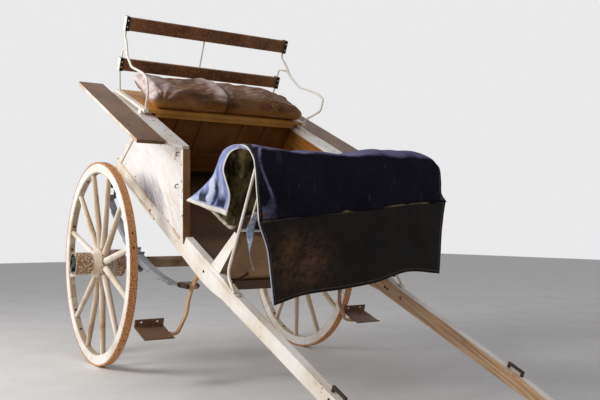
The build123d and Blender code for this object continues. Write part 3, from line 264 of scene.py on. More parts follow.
def worn_paint(name, paint, shade, wood, grain, wear=0.45, edge=0.004, way="cart", change=None):
    made = Finish(name, roughness=0.55)
    place = places(made, way)
    along = made.stretch(place, grain_ways[grain])
    fine = made.noise(along, 3.0, 6.0, 0.6)
    cloudy = made.noise(place, 3.2, 5.0, 0.6)
    spots = made.noise(place, 75.0, 3.0, 0.65)
    timber = made.ramp(fine, (0.3, wood[0]), (0.52, wood[1]), (0.7, wood[2]))
    coat = made.mix(made.between(cloudy, 0.42, 0.68), paint, shade)
    dirt = made.between(made.noise(along, 1.1, 5.0, 0.7), 0.56, 0.74) * 0.35
    coat = made.mix(dirt, coat, wood[1])
    if change:
        coat = change(made, place, coat)
    flecks = made.between(spots, 0.66, 0.72) * 0.5
    coat = made.mix(flecks, coat, wood[1])
    rubbed = made.edges(edge) * made.between(spots + cloudy * 0.6, 0.66, 0.88)
    flaked = made.between(cloudy * 0.55 + spots * 0.35 + fine * 0.3, 0.86 - wear * 0.3, 0.88 - wear * 0.3)
    bare = rubbed.most(flaked)
    made.feed("Base Color", made.mix(bare, coat, timber))
    made.feed("Roughness", 0.45 + bare * 0.3 + fine * 0.12)
    made.bump(fine * 0.4 - bare * 0.6 + spots * 0.2, 0.4, 0.0013)
    return made.material


def outer_paint(past, paint, shade):
    """A second paint on whatever is further than past millimetres from the gig's middle."""

    def change(made, place, coat):
        left = made.axes(place)[1]
        second = made.mix(made.between(made.noise(place, 6.0, 4.0), 0.4, 0.7), paint, shade)
        return made.mix(left.size() > past / 1000, coat, second)

    return change


def inner_wood_and_shade(made, place, coat):
    """The shafts' inner sides show orange wood where the paint has gone, and that orange also stands in for
    shade: partly wear, partly painted shade.
    """
    left = made.axes(place)[1]
    grain = made.noise(made.stretch(place, (1.2, 40, 60)), 2.4, 5.0, 0.6)
    wood = made.ramp(grain, (0.3, "#7f6043"), (0.5, "#c49d76"), (0.72, "#dec3a0"))
    return made.mix(left.size() < 0.4605, coat, wood)


def panel_stains(made, place, coat):
    """Blue-grey smears run down the panel, over tan patches low in front. The inner side is bare."""
    ahead, left, above = made.axes(place)
    slope = made.join(ahead * 1.4 + above * 0.5, left, above * 5 + ahead * 2.6)
    smear = made.between(made.noise(slope, 3.0, 6.0, 0.65), 0.43, 0.60)
    low_front = made.between(ahead - above * 1.15, -0.75, -0.3)
    reach = ((ahead - 0.12) * (ahead - 0.12) * 1.6 + (above - 0.50) * (above - 0.50) * 9).root()
    heart = made.between(reach, 0.34, 0.06)
    tan = made.between(made.noise(slope, 5.0, 5.0, 0.7), 0.45, 0.7) * (low_front * 0.6)
    coat = made.mix(tan, coat, "#dfc1a4")
    coat = made.mix(smear * (heart * 0.9 + 0.08), coat, "#777a92")
    speckle = made.between(made.noise(place, 120.0, 2.0, 0.6), 0.62, 0.68)
    coat = made.mix(speckle * 0.45, coat, "#8c8794")
    grain = made.noise(made.stretch(place, grain_ways["ahead"]), 2.2, 5.0, 0.6)
    inside = made.ramp(grain, (0.32, "#7a4a1f"), (0.5, "#b9772f"), (0.7, "#d79a4d"))
    return made.mix(left.size() < 0.4955, coat, inside)


def rim_joints_and_inner_shade(made, place, coat):
    """Dark cracks where the rim's curved pieces meet, six to a wheel, and tan painted shade on the inner
    side.
    """
    reach, round_rim = made.axes(place)[:2]
    part = (round_rim / rim_stretch * rim_parts + 6.0).repeat(1.0)
    crack = (part - 0.5).size() > 0.4982
    # The tan on the rim's inner side is painted shade
    inner = made.between(made.noise(place, 9.0, 4.0), 0.25, 0.5) * (reach < 0.5385)
    coat = made.mix(inner * 0.85, coat, "#a98c68")
    return made.mix(crack, coat, "#2c2018")


def front_painted_shade(made, place, coat):
    """The sides that face forward are tan: painted shade."""
    cloud = made.noise(made.place, 8.0, 5.0, 0.65)
    return made.mix(made.between(made.facing()[0] + cloud * 0.6, 0.45, 0.95) * 0.62, coat, "#b08d68")


def flange_notches_and_front_shade(made, place, coat):
    """The nave's widest edge has lost its paint in notches, and its forward-facing sides get tan painted
    shade.
    """
    reach = made.wheel_place(0)[0]
    notches = made.between(made.noise(place, 85.0, 2.0, 0.5), 0.5, 0.56)
    coat = front_painted_shade(made, place, coat)
    return made.mix(made.between(reach, 0.0868, 0.0885) * notches * 0.8, coat, "#76563a")


pine = ("#6b4a2c", "#a27c52", "#c9a677")
brown = ("#2f1e12", "#5d3e25", "#84603c")
painted = {
    "shafts": ("#fbf6ee", "#e3d3bd", pine, "ahead", 0.50, inner_wood_and_shade),
    "side_panels": ("#fbf8f4", "#ece6e2", pine, "ahead", 0.20, panel_stains),
    "back_posts": ("#fbf7f0", "#e2d6c6", pine, "ahead", 0.35, None),
    "side_ledges": ("#f4efe8", "#cfc2b2", pine, "ahead", 0.45, None),
    "side_beads": ("#f8f1e6", "#ddc9ad", pine, "ahead", 0.60, None),
    "seat_ends": ("#fbf7ef", "#e6dccd", pine, "ahead", 0.35, None),
    "tail_board": ("#efe8dc", "#cdbfab", pine, "across", 0.45, None),
    "front_posts": ("#a87b4c", "#73502f", brown, "above", 0.50, outer_paint(505.5, "#fbf7f0", "#e8ddce")),
    "wing_boards": ("#85654c", "#654a38", brown, "ahead", 0.35, outer_paint(740.5, "#f6efe4", "#c69a5c")),
    "toe_stiles": ("#8f6c47", "#6d4d30", brown, "above", 0.50, outer_paint(493.0, "#fbf7f0", "#eaddca")),
    "cross_bars": ("#5b4432", "#3e2c1f", brown, "across", 0.45, None),
    "floor_boards": ("#59402b", "#3b291b", brown, "across", 0.50, None),
    "toe_planks": ("#a88460", "#8a6a4b", pine, "across", 0.55, None),
    "seat_riser": ("#946230", "#603b1f", ("#3a2110", "#7a4c23", "#b98444"), "across", 0.55, None),
    "seat_board": ("#cf9648", "#a06c2c", ("#5a3a1a", "#a87638", "#e0ab62"), "across", 0.45, None),
}
wood_finishes = {}
for node, (paint, shade, wood, grain, wear, change) in painted.items():
    wood_finishes[node] = worn_paint(f"paint_on_{node}", paint, shade, wood, grain, wear, change=change)
for side in joint_turns:
    cream = ("#fbf8f2", "#dccfb9", pine)
    wood_finishes[f"felloes_{side}"] = worn_paint(
        f"paint_on_rim_{side}", *cream, "across", 0.35, 0.005, side, rim_joints_and_inner_shade
    )
    spoke = ("#f3ecdf", "#cdb793", pine)
    wood_finishes[f"spokes_{side}"] = worn_paint(
        f"paint_on_spokes_{side}", *spoke, "ahead", 0.62, 0.002, side, front_painted_shade
    )
    wood_finishes[f"nave_{side}"] = worn_paint(
        f"paint_on_nave_{side}", "#f6efe2", "#c9b392", brown, "across", 0.5, 0.004, "hub", flange_notches_and_front_shade
    )
print("painted pieces:", len(wood_finishes))

# %% [markdown]
# The two rails of the back rest were varnished. Varnish darkens in the middle of a rail and wears to a
# golden line along its edges, where coats and hands rub, and old varnish is dotted with small blisters.

# %% Varnished rails
def varnish(name):
    made = Finish(name, roughness=0.4)
    place = made.cart_place()
    fine = made.noise(made.stretch(place, grain_ways["across"]), 3.0, 6.0, 0.6)
    cloudy = made.noise(place, 7.0, 4.0)
    blisters = made.between(made.noise(place, 90.0, 3.0, 0.6), 0.54, 0.64)
    coat = made.mix(made.between(cloudy, 0.4, 0.65), "#6a4129", "#8c5c38")
    coat = made.mix(blisters * 0.55, coat, "#b08a58")
    coat = made.mix(made.between(fine, 0.55, 0.7) * 0.5, coat, "#2a180d")
    rubbed = made.edges(0.007) * made.between(cloudy + fine * 0.4, 0.45, 0.7)
    made.feed("Base Color", made.mix(rubbed * 0.9, coat, "#cfa56c"))
    made.feed("Roughness", 0.32 + fine * 0.2 + rubbed * 0.2)
    made.bump(fine * 0.5 + blisters * 0.4, 0.35, 0.0008)
    return made.material


rail_varnish = varnish("old_varnish")
print("varnish on the rails:", rail_varnish.name)

# %% [markdown]
# Iron shows several states here. The tyres are bare and rusty. The springs have thin grey paint, and
# the axle is brown with dirt. The arm irons and the dash rods were once painted as pale as the wood.
# One recipe goes from a coat of paint down to rust: chips at the edges, speckles between, and rust
# that blooms in clouds.

# %% Rust and old paint on iron
def worn_iron(name, paint, shade, rust, wear, edge=0.003, way="cart", change=None):
    made = Finish(name)
    place = places(made, way)
    cloudy = made.noise(place, 9.0, 5.0, 0.6)
    specks = made.noise(place, 130.0, 4.0, 0.7)
    grit = made.noise(place, 420.0, 3.0, 0.6)
    oxide = made.ramp(specks, (0.36, rust[0]), (0.5, rust[1]), (0.64, rust[2]))
    coat = made.mix(made.between(cloudy, 0.4, 0.66), paint, shade)
    chips = made.edges(edge) * made.between(specks + cloudy * 0.5, 0.62, 0.8)
    bloom = made.between(cloudy * 0.6 + specks * 0.5, 0.74 - wear * 0.35, 0.80 - wear * 0.35)
    bare = chips.most(bloom)
    colour = made.mix(bare, coat, oxide)
    if change:
        colour = change(made, place, colour)
    made.feed("Base Color", colour)
    made.feed("Roughness", 0.5 + bare * 0.3)
    made.feed("Metallic", bare * 0.06)
    made.bump(specks * 0.6 + grit * 0.4 - bare * 0.3, 0.5, 0.0009)
    return made.material


def socket_ends(made, place, colour):
    """The rail sockets are black in front and pale on their outer ends."""
    return made.mix(made.axes(place)[1].size() > 0.5705, colour, "#f3ebdf")


def pinkish_edges(made, place, colour):
    """The leaves' edges are pinkish where the blue-grey paint has gone."""
    rusty = made.between(made.noise(place, 14.0, 4.0, 0.6), 0.4, 0.6)
    return made.mix(made.edges(0.0035) * (rusty * 0.7 + 0.2), colour, "#d8bfb0")


def cup_inside(made, place, colour):
    """The open cup is dark inside, with a green cast."""
    reach = made.wheel_place(0)[0]
    dark_green_inside = made.mix(made.between(made.noise(place, 40.0, 4.0), 0.45, 0.55), "#14170f", "#8d9a88")
    flakes = made.between(made.noise(place, 95.0, 4.0, 0.7), 0.54, 0.58)
    colour = made.mix(flakes.most(made.edges(0.005)), colour, "#efe4d0")
    return made.mix(made.between(reach, 0.0615, 0.0605), colour, dark_green_inside)


red_rust = ("#4a2a1a", "#8a5430", "#bd8458")
dark_rust = ("#1b1411", "#3a2619", "#6b4226")
iron_finishes = {
    "tyre": ("#c98d5c", "#dba878", ("#7d4a28", "#cb8852", "#ecc598"), 0.9, 0.004, None),
    "nave_bands": ("#9c7550", "#5c3f2b", ("#2a1a11", "#6d4a30", "#b8946c"), 0.6, 0.003, cup_inside),
    "dark": ("#3a2d21", "#221d1a", dark_rust, 0.5, 0.003, None),
    "bed": ("#9a8468", "#75604a", ("#3f2a1c", "#7d5a3c", "#b39672"), 0.5, 0.004, None),
    "grey": ("#9aa1b0", "#757b8c", red_rust, 0.35, 0.003, None),
    "leaves": ("#aeb1b8", "#80838c", red_rust, 0.15, 0.002, pinkish_edges),
    "pale": ("#fffaf0", "#f1e7d3", red_rust, 0.22, 0.0012, None),
    "hanger": ("#c3a27a", "#96714a", red_rust, 0.55, 0.003, None),
    "step": ("#6f5341", "#4d3a2d", ("#2a1b13", "#5b3f2b", "#a88562"), 0.6, 0.005, None),
    "socket": ("#1f1a17", "#14110f", dark_rust, 0.3, 0.004, socket_ends),
}
irons = {}
for kind, (paint, shade, rust, wear, edge, change) in iron_finishes.items():
    ways = joint_turns if kind == "tyre" else ("hub",) if kind == "nave_bands" else ("cart",)
    for way in ways:
        irons[kind, way] = worn_iron(f"{kind}_iron_{way}", paint, shade, rust, wear, edge, way, change)
print("iron finishes:", len(irons))

# %% [markdown]
# Leather is made of pores and scuffs. The dash panel and the apron's foot piece are nearly black, and
# worn brown in the middle where boots rub them. The cushion is brown in front, ochre low down, and pale
# at its near end and where it faces up or outwards: partly dusty leather, partly a painted highlight that
# follows the surface's own direction. A fold and a sag in it are darkened as painted shade.

# %% Leather
def worn_leather(name, coat, shade, worn, share, change=None):
    made = Finish(name, roughness=0.5, shine=0.12)
    place = made.cart_place()
    pores = made.cells(place, 330.0, "DISTANCE_TO_EDGE")
    cloudy = made.noise(place, 5.0, 5.0, 0.6)
    grit = made.noise(place, 70.0, 4.0, 0.65)
    scuffs = made.noise(made.stretch(place, (50, 12, 26)), 1.0, 5.0, 0.7)
    colour = made.mix(made.between(cloudy, 0.4, 0.62), coat, shade)
    start = 0.62 - share * 0.14
    rubbed = made.between(cloudy * 0.45 + grit * 0.35 + scuffs * 0.3, start, start + 0.10)
    colour = made.mix(rubbed * 0.8, colour, worn)
    if change:
        colour = change(made, place, colour)
    made.feed("Base Color", colour)
    made.feed("Roughness", 0.42 + rubbed * 0.22 + grit * 0.1)
    made.bump(made.between(pores, 0.0, 0.12) * 0.4 + grit * 0.4 + scuffs * 0.5, 0.45, 0.0012)
    return made.material


def cushion_dust_and_painted_light(made, place, colour):
    """Pale at the near end and along a lump's crest, ochre low in front, brown between. Faces that turn up
    or to the near side are paled, partly dusty leather and partly a painted highlight; a fold and a sag
    get painted shade.
    """
    y, z = made.facing()[1:]
    ahead, left, above = made.axes(place)
    cloud = made.noise(place, 11.0, 5.0, 0.6)
    streaks = made.noise(made.stretch(place, (14, 4, 14)), 1.4, 4.0, 0.6)
    low = made.between(above - ahead * 0.05 + cloud * 0.05, 1.045, 0.985) * made.between(cloud, 0.3, 0.45)
    colour = made.mix(low * 0.85, colour, "#dba052")
    # The near end is pale: dusty leather, paler on faces turned up or to the near side, a painted highlight
    near_end_dust_and_highlight = made.between(left + cloud * 0.2, -0.20, -0.42)
    near_end_dust_and_highlight = near_end_dust_and_highlight * made.between(z * 0.7 - y * 0.7 + cloud * 0.4, 0.2, 0.75)
    ridge = left + 0.028 + (ahead + 0.25) * (ahead + 0.25) * 0.9
    crest = made.between(ridge, -0.085, -0.03) * made.between(ridge, 0.022, 0.008)
    crest = crest * made.between(above - ahead * 0.05, 1.028, 1.05) * made.between(streaks, 0.3, 0.5)
    # The fold's sides are darkened: painted shade
    fold = made.between(ridge, 0.008, 0.022) * made.between(ridge, 0.10, 0.03) * made.between(z, 0.98, 0.9)
    colour = made.mix(fold * 0.7, colour, "#2a190e")
    # The sag is darkened: painted shade
    sag_shade = made.between((left + 0.26).size(), 0.14, 0.06) * made.between((ahead + 0.10).size(), 0.05, 0.02)
    colour = made.mix(sag_shade * made.between(z, 0.1, 0.4) * 0.7, colour, "#2f1d11")
    # Faces turned up or to the near side are paled in streaks: partly dusty, partly a painted highlight
    dust_and_highlight = made.between(z * 0.8 - y * 0.5 + streaks * 0.9, 1.15, 1.5) * 0.5
    pale = made.mix(made.between(streaks, 0.4, 0.65), "#f6e6e0", "#c9adaa")
    return made.mix(near_end_dust_and_highlight.most(crest * 0.85).most(dust_and_highlight), colour, pale)


def apron_wear(made, place, colour):
    """A worn patch in the middle of the near half, an ochre line at the seam, and dark bound edges."""
    x, y, z = made.axes(made.place)
    near, start, end = made.kept("from_near", "from_start", "from_end")
    spots = made.noise(made.place, 45.0, 5.0, 0.75)
    smears = made.noise(made.join(x, y * 7.0 - z * 3.0, z * 9.0), 1.6, 5.0, 0.7)
    reach = ((y + 0.30) * (y + 0.30) * 16.0 + (z - 0.66) * (z - 0.66) * 30.0).root()
    patch = made.between(reach, 1.0, 0.3) * made.between(smears * 0.7 + spots * 0.3, 0.42, 0.60)
    colour = made.mix(patch * 0.75, colour, "#6a4c34")
    low = made.between(z + smears * 0.1, 0.62, 0.55) * made.between(spots, 0.5, 0.6)
    colour = made.mix(low * 0.35, colour, "#63462f")
    line = made.between(start, 0.011, 0.006) * made.between(made.noise(made.place, 25.0), 0.42, 0.55)
    colour = made.mix(line, colour, "#b08d58")
    bound = made.between(end, 0.024, 0.020).most(made.between(near, 0.022, 0.018))
    colour = made.mix(bound * 0.8, colour, "#17110d")
    return made.mix(made.between(near, 0.005, 0.0035), colour, "#c3cde0")


cushion_finish = worn_leather("cushion_leather", "#8a5a36", "#573722", "#a2764c", 0.3, cushion_dust_and_painted_light)
dash_finish = worn_leather("dash_leather", "#3a2a1f", "#241a14", "#5d4533", 0.3)
apron_leather_finish = worn_leather("apron_leather", "#1a130e", "#0d0a08", "#261b14", -0.2, apron_wear)
strap_finish = worn_leather("strap_leather", "#8296b4", "#66748c", "#d9cfc6", 0.6)
piping_finish = worn_leather("piping_leather", "#8a6444", "#6a4a32", "#c9ad92", 0.5)
print("leathers made")

# %% [markdown]
# The cloth's outer side was dark blue and is now nearly black with a violet cast. Its folds have faded
# where they were creased, so the finish reads the fold height that the sheet keeps on its points. Faces
# that turn up get a painted highlight. The near corner is turned back: that strip is a pale lavender
# with painted highlights on its crests, painted shade in its creases, and a cream hem. The lining is
# painted a dark olive as painted shade over that same pale cloth, with dirt streaks and painted shade
# in its hollows. All these follow lengths along the cloth, which the sheet also keeps.

# %% Cloth
thread_gap = 0.0016


def heavy_cloth(name, thread, shade, change):
    made = Finish(name, roughness=0.85, shine=0.08)
    near, start = made.kept("from_near", "from_start")
    cloudy = made.noise(made.place, 6.0, 5.0, 0.65)
    soft = made.noise(made.place, 40.0, 4.0, 0.65)
    weft, warp = ((way * (2 * math.pi / thread_gap)).sine() for way in (near, start))
    colour = made.mix(made.between(cloudy, 0.4, 0.64), thread, shade)
    colour = change(made, colour, cloudy, soft)
    made.feed("Base Color", made.mix((weft * warp) * 0.06 + 0.06, colour, "#0b0a12"))
    made.feed("Roughness", 0.78 + soft * 0.2)
    made.bump(weft * warp * 0.15 + soft * 0.5 + made.between(near, 0.022, 0.019) * 0.6, 0.4, 0.0016)
    return made.material


# Dark crease lines of painted shade on the turned-back strip. Columns are place from the near edge, lean,
# half width, and the start and end up from the hem
creases = ((0.15, 0.5, 0.036, 0.034, 0.085), (0.05, 0.1, 0.03, 0.03, 0.07), (0.115, -0.25, 0.011, 0.03, 0.15))


def cloth_fade_and_painted_light(made, colour, cloudy, soft):
    """Faded crests, a painted highlight on faces that turn up, and rusty streaks, and the pale strip where
    the cloth is turned back, with painted highlights on its crests and painted shade in its creases.
    """
    z = made.facing()[2]
    near, start, end, fold, crest = made.kept("from_near", "from_start", "from_end", "from_fold", "crest")
    worn = made.between(crest + soft * 0.5, 0.55, 0.9) * made.between(fold, 0.16, 0.04) * 0.7
    # Faces that turn up are paled: a painted highlight
    top = made.between(z + cloudy * 1.3, 1.2, 1.85) * 0.9
    bend = (end * 19.0).sine() * 0.022 + 0.062
    line = made.between((fold - bend + soft * 0.02 - 0.01).size(), 0.011, 0.001)
    line = line * made.between(end, 0.06, 0.16)
    line = line * made.between(fold, 0.0, 0.02) * made.between(cloudy, 0.36, 0.56)
    colour = made.mix(worn.most(top).most(line * 0.8) * 0.8, colour, "#a09dc8")
    streaks = made.noise(made.stretch(made.place, (30, 26, 7)), 1.3, 5.0, 0.75)
    colour = made.mix(made.between(streaks, 0.6, 0.7) * 0.45, colour, "#5d4238")
    colour = made.mix(made.between(end, 0.014, 0.008) * 0.7, colour, "#0f0d14")
    colour = made.mix(made.between(fold, 0.026, 0.022), colour, "#17141b")
    colour = made.mix(made.between(fold, 0.0065, 0.005), colour, "#f4ecdf")
    threads = made.noise(made.join(near * 40.0, start * 7.0, 0.0), 1.0, 4.0, 0.6)
    turned = made.mix(made.between(threads + cloudy * 0.5, 0.62, 0.86), "#b4bbe0", "#7c87ba")
    # The strip's crests are paler, a painted highlight, and the crease lines below darken it as painted shade
    turned = made.mix(made.between(crest, 0.35, 0.9) * 0.8, turned, "#dfe4f6")
    for at, leaning, wide, low, high in creases:
        away = (near - start * leaning - at + soft * 0.04 - 0.02).size()
        crease_shade = made.between(away, wide, wide * 0.7) * made.between(start, low, low + 0.006)
        turned = made.mix(crease_shade * made.between(start, high + 0.05, high) * 0.9, turned, "#1b1e2e")
    hem = made.between(start, 0.027, 0.024).most(made.between(near, 0.009, 0.007))
    turned = made.mix(hem, turned, "#f7f0e4")
    return made.mix(made.between(fold, 0.0, -0.0015), colour, turned)


def lining_shade_and_dirt(made, colour, cloudy, soft):
    """Painted shade in the hollows, tan and nearly black streaks, and the hem's cream edge."""
    start, crest = made.kept("from_start", "crest")
    # The hollows darken: painted shade
    colour = made.mix(made.between(crest + soft * 0.4, 0.1, -0.25) * 0.7, colour, "#1b1a12")
    streaks = made.noise(made.stretch(made.place, (14, 14, 6)), 1.6, 4.0, 0.6)
    colour = made.mix(made.between(streaks, 0.50, 0.60) * 0.65, colour, "#a8916a")
    colour = made.mix(made.between(streaks, 0.44, 0.38) * 0.7, colour, "#17150e")
    return made.mix(made.between(start, 0.018, 0.015) * made.between(soft, 0.3, 0.6), colour, "#efe6d6")


cloth_finish = heavy_cloth("apron_outer_cloth", "#1d1b27", "#13111c", cloth_fade_and_painted_light)
# The lining's dark olive stands in for shade: painted shade over a cloth as pale as the turned-back strip
shaded_lining_finish = heavy_cloth("apron_lining_painted_shade", "#625839", "#37321f", lining_shade_and_dirt)
thread = Finish("hem_thread", roughness=0.8)
twist = thread.node("ShaderNodeTexWave", None, {"Vector": thread.place, "Scale": 900.0})
thread.feed("Base Color", thread.mix(twist, "#b5a78e", "#e9dfca"))
thread.bump(twist, 0.3, 0.0003)
print("cloth, lining and thread made")

# %% [markdown]
# Each CAD node now gets its finish. Wood goes by the node's own name, and the tyres and nave bands by
# their side. The table names the iron of the rest, and what it doesn't name is dark iron.

# %% Dress the CAD nodes
iron_nodes = {
    "axle": "bed", "spring_clips": "grey", "leaf_springs": "leaves", "step_hangers": "hanger",
    "step_plates": "step", "rail_irons": "socket",
}
for name in ("arm_irons", "dash_frame", "dash_stays", "back_rod", "back_stays", "wing_brackets"):
    iron_nodes[name] = "pale"
for name, node in nodes.items():
    kind, _, side = name.rpartition("_")
    if name in wood_finishes:
        finish = wood_finishes[name]
    elif name in ("top_rail", "lower_rail"):
        finish = rail_varnish
    elif name == "dash_panel":
        finish = dash_finish
    elif kind == "nave_bands":
        finish = irons[kind, "hub"]
    elif (kind, side) in irons:
        finish = irons[kind, side]
    else:
        finish = irons[iron_nodes.get(name, "dark"), "cart"]
    for slot in node.material_slots:
        slot.material = finish
print("nodes dressed:", len(nodes))

# %% [markdown]
# Several pieces are soft sheets: the apron's cloth, its leather foot piece and the strap. A sheet is
# easiest to shape as a short table of places, like pins that hold a cloth. A smooth surface then runs
# through the pins, first along the rows and then along the columns.

# %% Helpers for new pieces
def smooth(points, count):
    """More points on a smooth line, or rows on a smooth surface, through the ones that are given."""
    points = np.asarray(points, dtype=float)
    padded = np.concatenate([[2 * points[0] - points[1]], points, [2 * points[-1] - points[-2]]])
    at = np.linspace(0, len(points) - 1, count)
    start = np.minimum(at.astype(int), len(points) - 2)
    share = (at - start).reshape([-1] + [1] * (points.ndim - 1))
    a, b, c, d = (padded[start + step] for step in range(4))
    bend = (2 * a - 5 * b + 4 * c - d) * share**2 + (3 * b - a - 3 * c + d) * share**3
    return 0.5 * (2 * b + (c - a) * share + bend)


def smooth_sheet(pins, rows, columns):
    """A sheet's places in metres, from pins in millimetres ahead of the axle, left and up."""
    places = smooth(pins, rows)
    return smooth(places.transpose(1, 0, 2), columns).transpose(1, 0, 2) / 1000


def place_piece(name, mesh, materials, body="cart"):
    """Puts a finished mesh into the scene as a piece that rides on a body."""
    piece = bpy.data.objects.new(name, mesh)
    bpy.context.scene.collection.objects.link(piece)
    for material in materials:
        mesh.materials.append(material)
    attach(piece, body)
    return piece


def edge_lengths(places):
    """Each point's way along a sheet, in metres, from the sheet's near, first and last edges."""
    from_near = np.cumsum(np.linalg.norm(np.diff(places, axis=1, prepend=places[:, :1]), axis=2), axis=1)
    from_start = np.cumsum(np.linalg.norm(np.diff(places, axis=0, prepend=places[:1]), axis=2), axis=0)
    return {"from_near": from_near, "from_start": from_start, "from_end": from_start[-1:] - from_start}


def outward(places):
    """The direction that a sheet's outer side faces, at each of its points."""
    out = np.cross(np.gradient(places, axis=0), np.gradient(places, axis=1))
    return out / (np.linalg.norm(out, axis=2, keepdims=True) + 1e-9)


def crumple(places, sizes, seed, turned=0):
    """Folds a sheet along its own direction. Each size is folds a metre across and along, and a depth.
    The first turned columns are folded back over the sheet, and move with what lies behind them."""
    height = np.zeros(places.shape[:2])
    for row, column in np.ndindex(*height.shape):
        x, y, z = places[row, column]
        for number, (often_across, often_along, size) in enumerate(sizes):
            spot = Vector((y * often_across, (z - x) * often_along, seed + 7 * number))
            height[row, column] += size * noise.noise(spot)
    out = outward(places)
    out[:, :turned] *= -1
    return places + out * height[..., None], height / (np.abs(height).max() + 1e-9)


def sheet_mesh(name, places, crest=None, fold=0):
    """A mesh from rows of places in metres, with a UV map and lengths from its edges and its fold."""
    rows, columns = places.shape[:2]
    faces = []
    for row in range(rows - 1):
        for column in range(columns - 1):
            corner = row * columns + column
            faces.append((corner, corner + columns, corner + columns + 1, corner + 1))
    mesh = bpy.data.meshes.new(name)
    mesh.from_pydata(places.reshape(-1, 3).tolist(), [], faces)
    across, along = np.meshgrid(np.linspace(0, 1, columns), np.linspace(0, 1, rows))
    shares = np.stack([across, along], -1).reshape(-1, 2)
    corners = np.array([vertex for face in faces for vertex in face])
    uv = mesh.uv_layers.new(name="across_along")
    uv.data.foreach_set("uv", shares[corners].astype(np.float32).ravel())
    lengths = edge_lengths(places)
    lengths["crest"] = np.zeros((rows, columns)) if crest is None else crest
    lengths["from_fold"] = lengths["from_near"] - lengths["from_near"][:, fold : fold + 1]
    for key, values in lengths.items():
        kept = mesh.attributes.new(key, "FLOAT", "POINT")
        kept.data.foreach_set("value", values.astype(np.float32).ravel())
    mesh.shade_smooth()
    return mesh


def thicken(sheet, name, thickness, offset, lining=0):
    """Gives a sheet its thickness, and its back another of its materials where it has a lining."""
    modifier = sheet.modifiers.new(name, "SOLIDIFY")
    modifier.thickness, modifier.offset, modifier.material_offset = thickness, offset, lining


def apply_modifiers(piece):
    """Bakes a piece's modifiers into its mesh."""
    bpy.context.view_layer.update()
    shaped = piece.evaluated_get(bpy.context.evaluated_depsgraph_get())
    mesh = bpy.data.meshes.new_from_object(shaped)
    piece.modifiers.clear()
    old = piece.data
    piece.data = mesh
    bpy.data.meshes.remove(old)


print("a smooth line through 0, 1 and 0:", smooth([0, 1, 0], 5).round(2))

# %% [markdown]
# The apron keeps rain and mud off the driver's knees. Somebody has thrown it over the dash: the cloth
# part stands in a stiff hump over the top rail, and its back part hangs into the foot well, with
# one corner swung out. The table below gives the hump's height across the gig, and the rows give its
# way from the back hem over the top to the seam. The near edge has its own way, because it swings.

# %% The apron's cloth
# Heights are above the floor, and all places are in millimetres
# Columns are place across the gig and the hump's height
hump = ((-470, 1188), (-390, 1180), (-300, 1168), (-200, 1178), (-115, 1181), (-23, 1165),
        (63, 1181), (204, 1203), (320, 1208), (410, 1211), (505, 1201))
hump_height = 1188  # where a share of 1 puts the rows below
# Columns are ahead of the axle, height, share of the hump's own height, wander of the seam
rows_inside = ((1222, 852, 0, 0), (1275, 957, 0, 0), (1315, 1045, 0.1, 0), (1345, 1110, 0.3, 0),
               (1372, 1163, 0.6, 0), (1400, 1184, 0.9, 0), (1440, 1188, 1, 0), (1506, 1176, 1, 0),
               (1566, 1157, 0.4, 0), (1580, 1124, 0.2, 0), (1582, 1040, 0, 0.25), (1583, 955, 0, 0.6),
               (1583, 862, 0, 1))
# Columns from here on are ahead of the axle, left and height, one line for each row above
near_edge = ((1015, -600, 944), (1121, -580, 992), (1205, -558, 1051), (1232, -545, 1106),
             (1264, -532, 1166), (1345, -524, 1190), (1423, -520, 1186), (1489, -520, 1161),
             (1535, -521, 1117), (1550, -522, 1080), (1566, -524, 1008), (1576, -522, 918),
             (1582, -518, 835))
near_hem = ((1297, -530, 864), (1350, -540, 950), (1334, -550, 1028), (1312, -550, 1086),
            (1355, -545, 1148), (1388, -520, 1172), (1424, -501, 1167), (1482, -501, 1148),
            (1520, -503, 1116), (1538, -503, 1080), (1554, -504, 1010), (1560, -501, 922),
            (1564, -496, 838))
# Where the cloth's front part bends round the dash's near corner, for the last rows only
near_bend = ((1345, -500, 1186), (1424, -499, 1192), (1500, -503, 1181), (1562, -507, 1160),
             (1583, -509, 1104), (1583, -507, 1022), (1585, -503, 930), (1585, -497, 840))
far_edge = ((1215, 545, 858), (1268, 560, 957), (1308, 560, 1040), (1340, 556, 1095), (1368, 552, 1140),
            (1400, 550, 1160), (1440, 548, 1168), (1506, 548, 1160), (1560, 550, 1135),
            (1580, 553, 1105), (1583, 556, 1045), (1583, 558, 985), (1583, 591, 942))


def seam_height(across):
    """The seam runs straight from the near edge's last place to the far edge's."""
    (_, near, low), (_, far, high) = near_edge[-1], far_edge[-1]
    return low + (across - near) * (high - low) / (far - near)


pins = []
first_bend = len(rows_inside) - len(near_bend)
for row, (ahead, height, share, wander) in enumerate(rows_inside):
    hem_pin, fold_pin = np.array(near_hem[row], dtype=float), np.array(near_edge[row], dtype=float)
    inner_pin = np.array((ahead, hump[0][0], height))
    # The turned-back strip stands off to the side at first, sinks on the hump and then leans back
    bulge = np.array((12, -9, 0) if row < 5 else (0, 0, -5) if row < 8 else (-5, 0, 0))
    if row < first_bend:
        behind = (fold_pin * 0.45 + inner_pin * 0.55) - np.array((26, -10, 0)) * (row < 4)
    else:
        behind = np.array(near_bend[row - first_bend], dtype=float)
    line = [hem_pin, (hem_pin + fold_pin) / 2 + bulge, fold_pin, behind]
    for across, top in hump:
        rise = (top - hump_height) * share + (seam_height(across) - rows_inside[-1][1]) * wander
        line.append((ahead, across, height + rise))
    line.append(far_edge[row])
    pins.append(line)
# The hem's two inner pins beside the swung-out corner hang lower
pins[0][4] = (1232, -470, 802)
pins[1][4] = (1268, -470, 925)
pins = np.array([[tuple(pin) for pin in line] for line in pins])
fold_column = 24  # where the cloth is turned back on itself
cloth_places = smooth_sheet(pins, 150, 181)

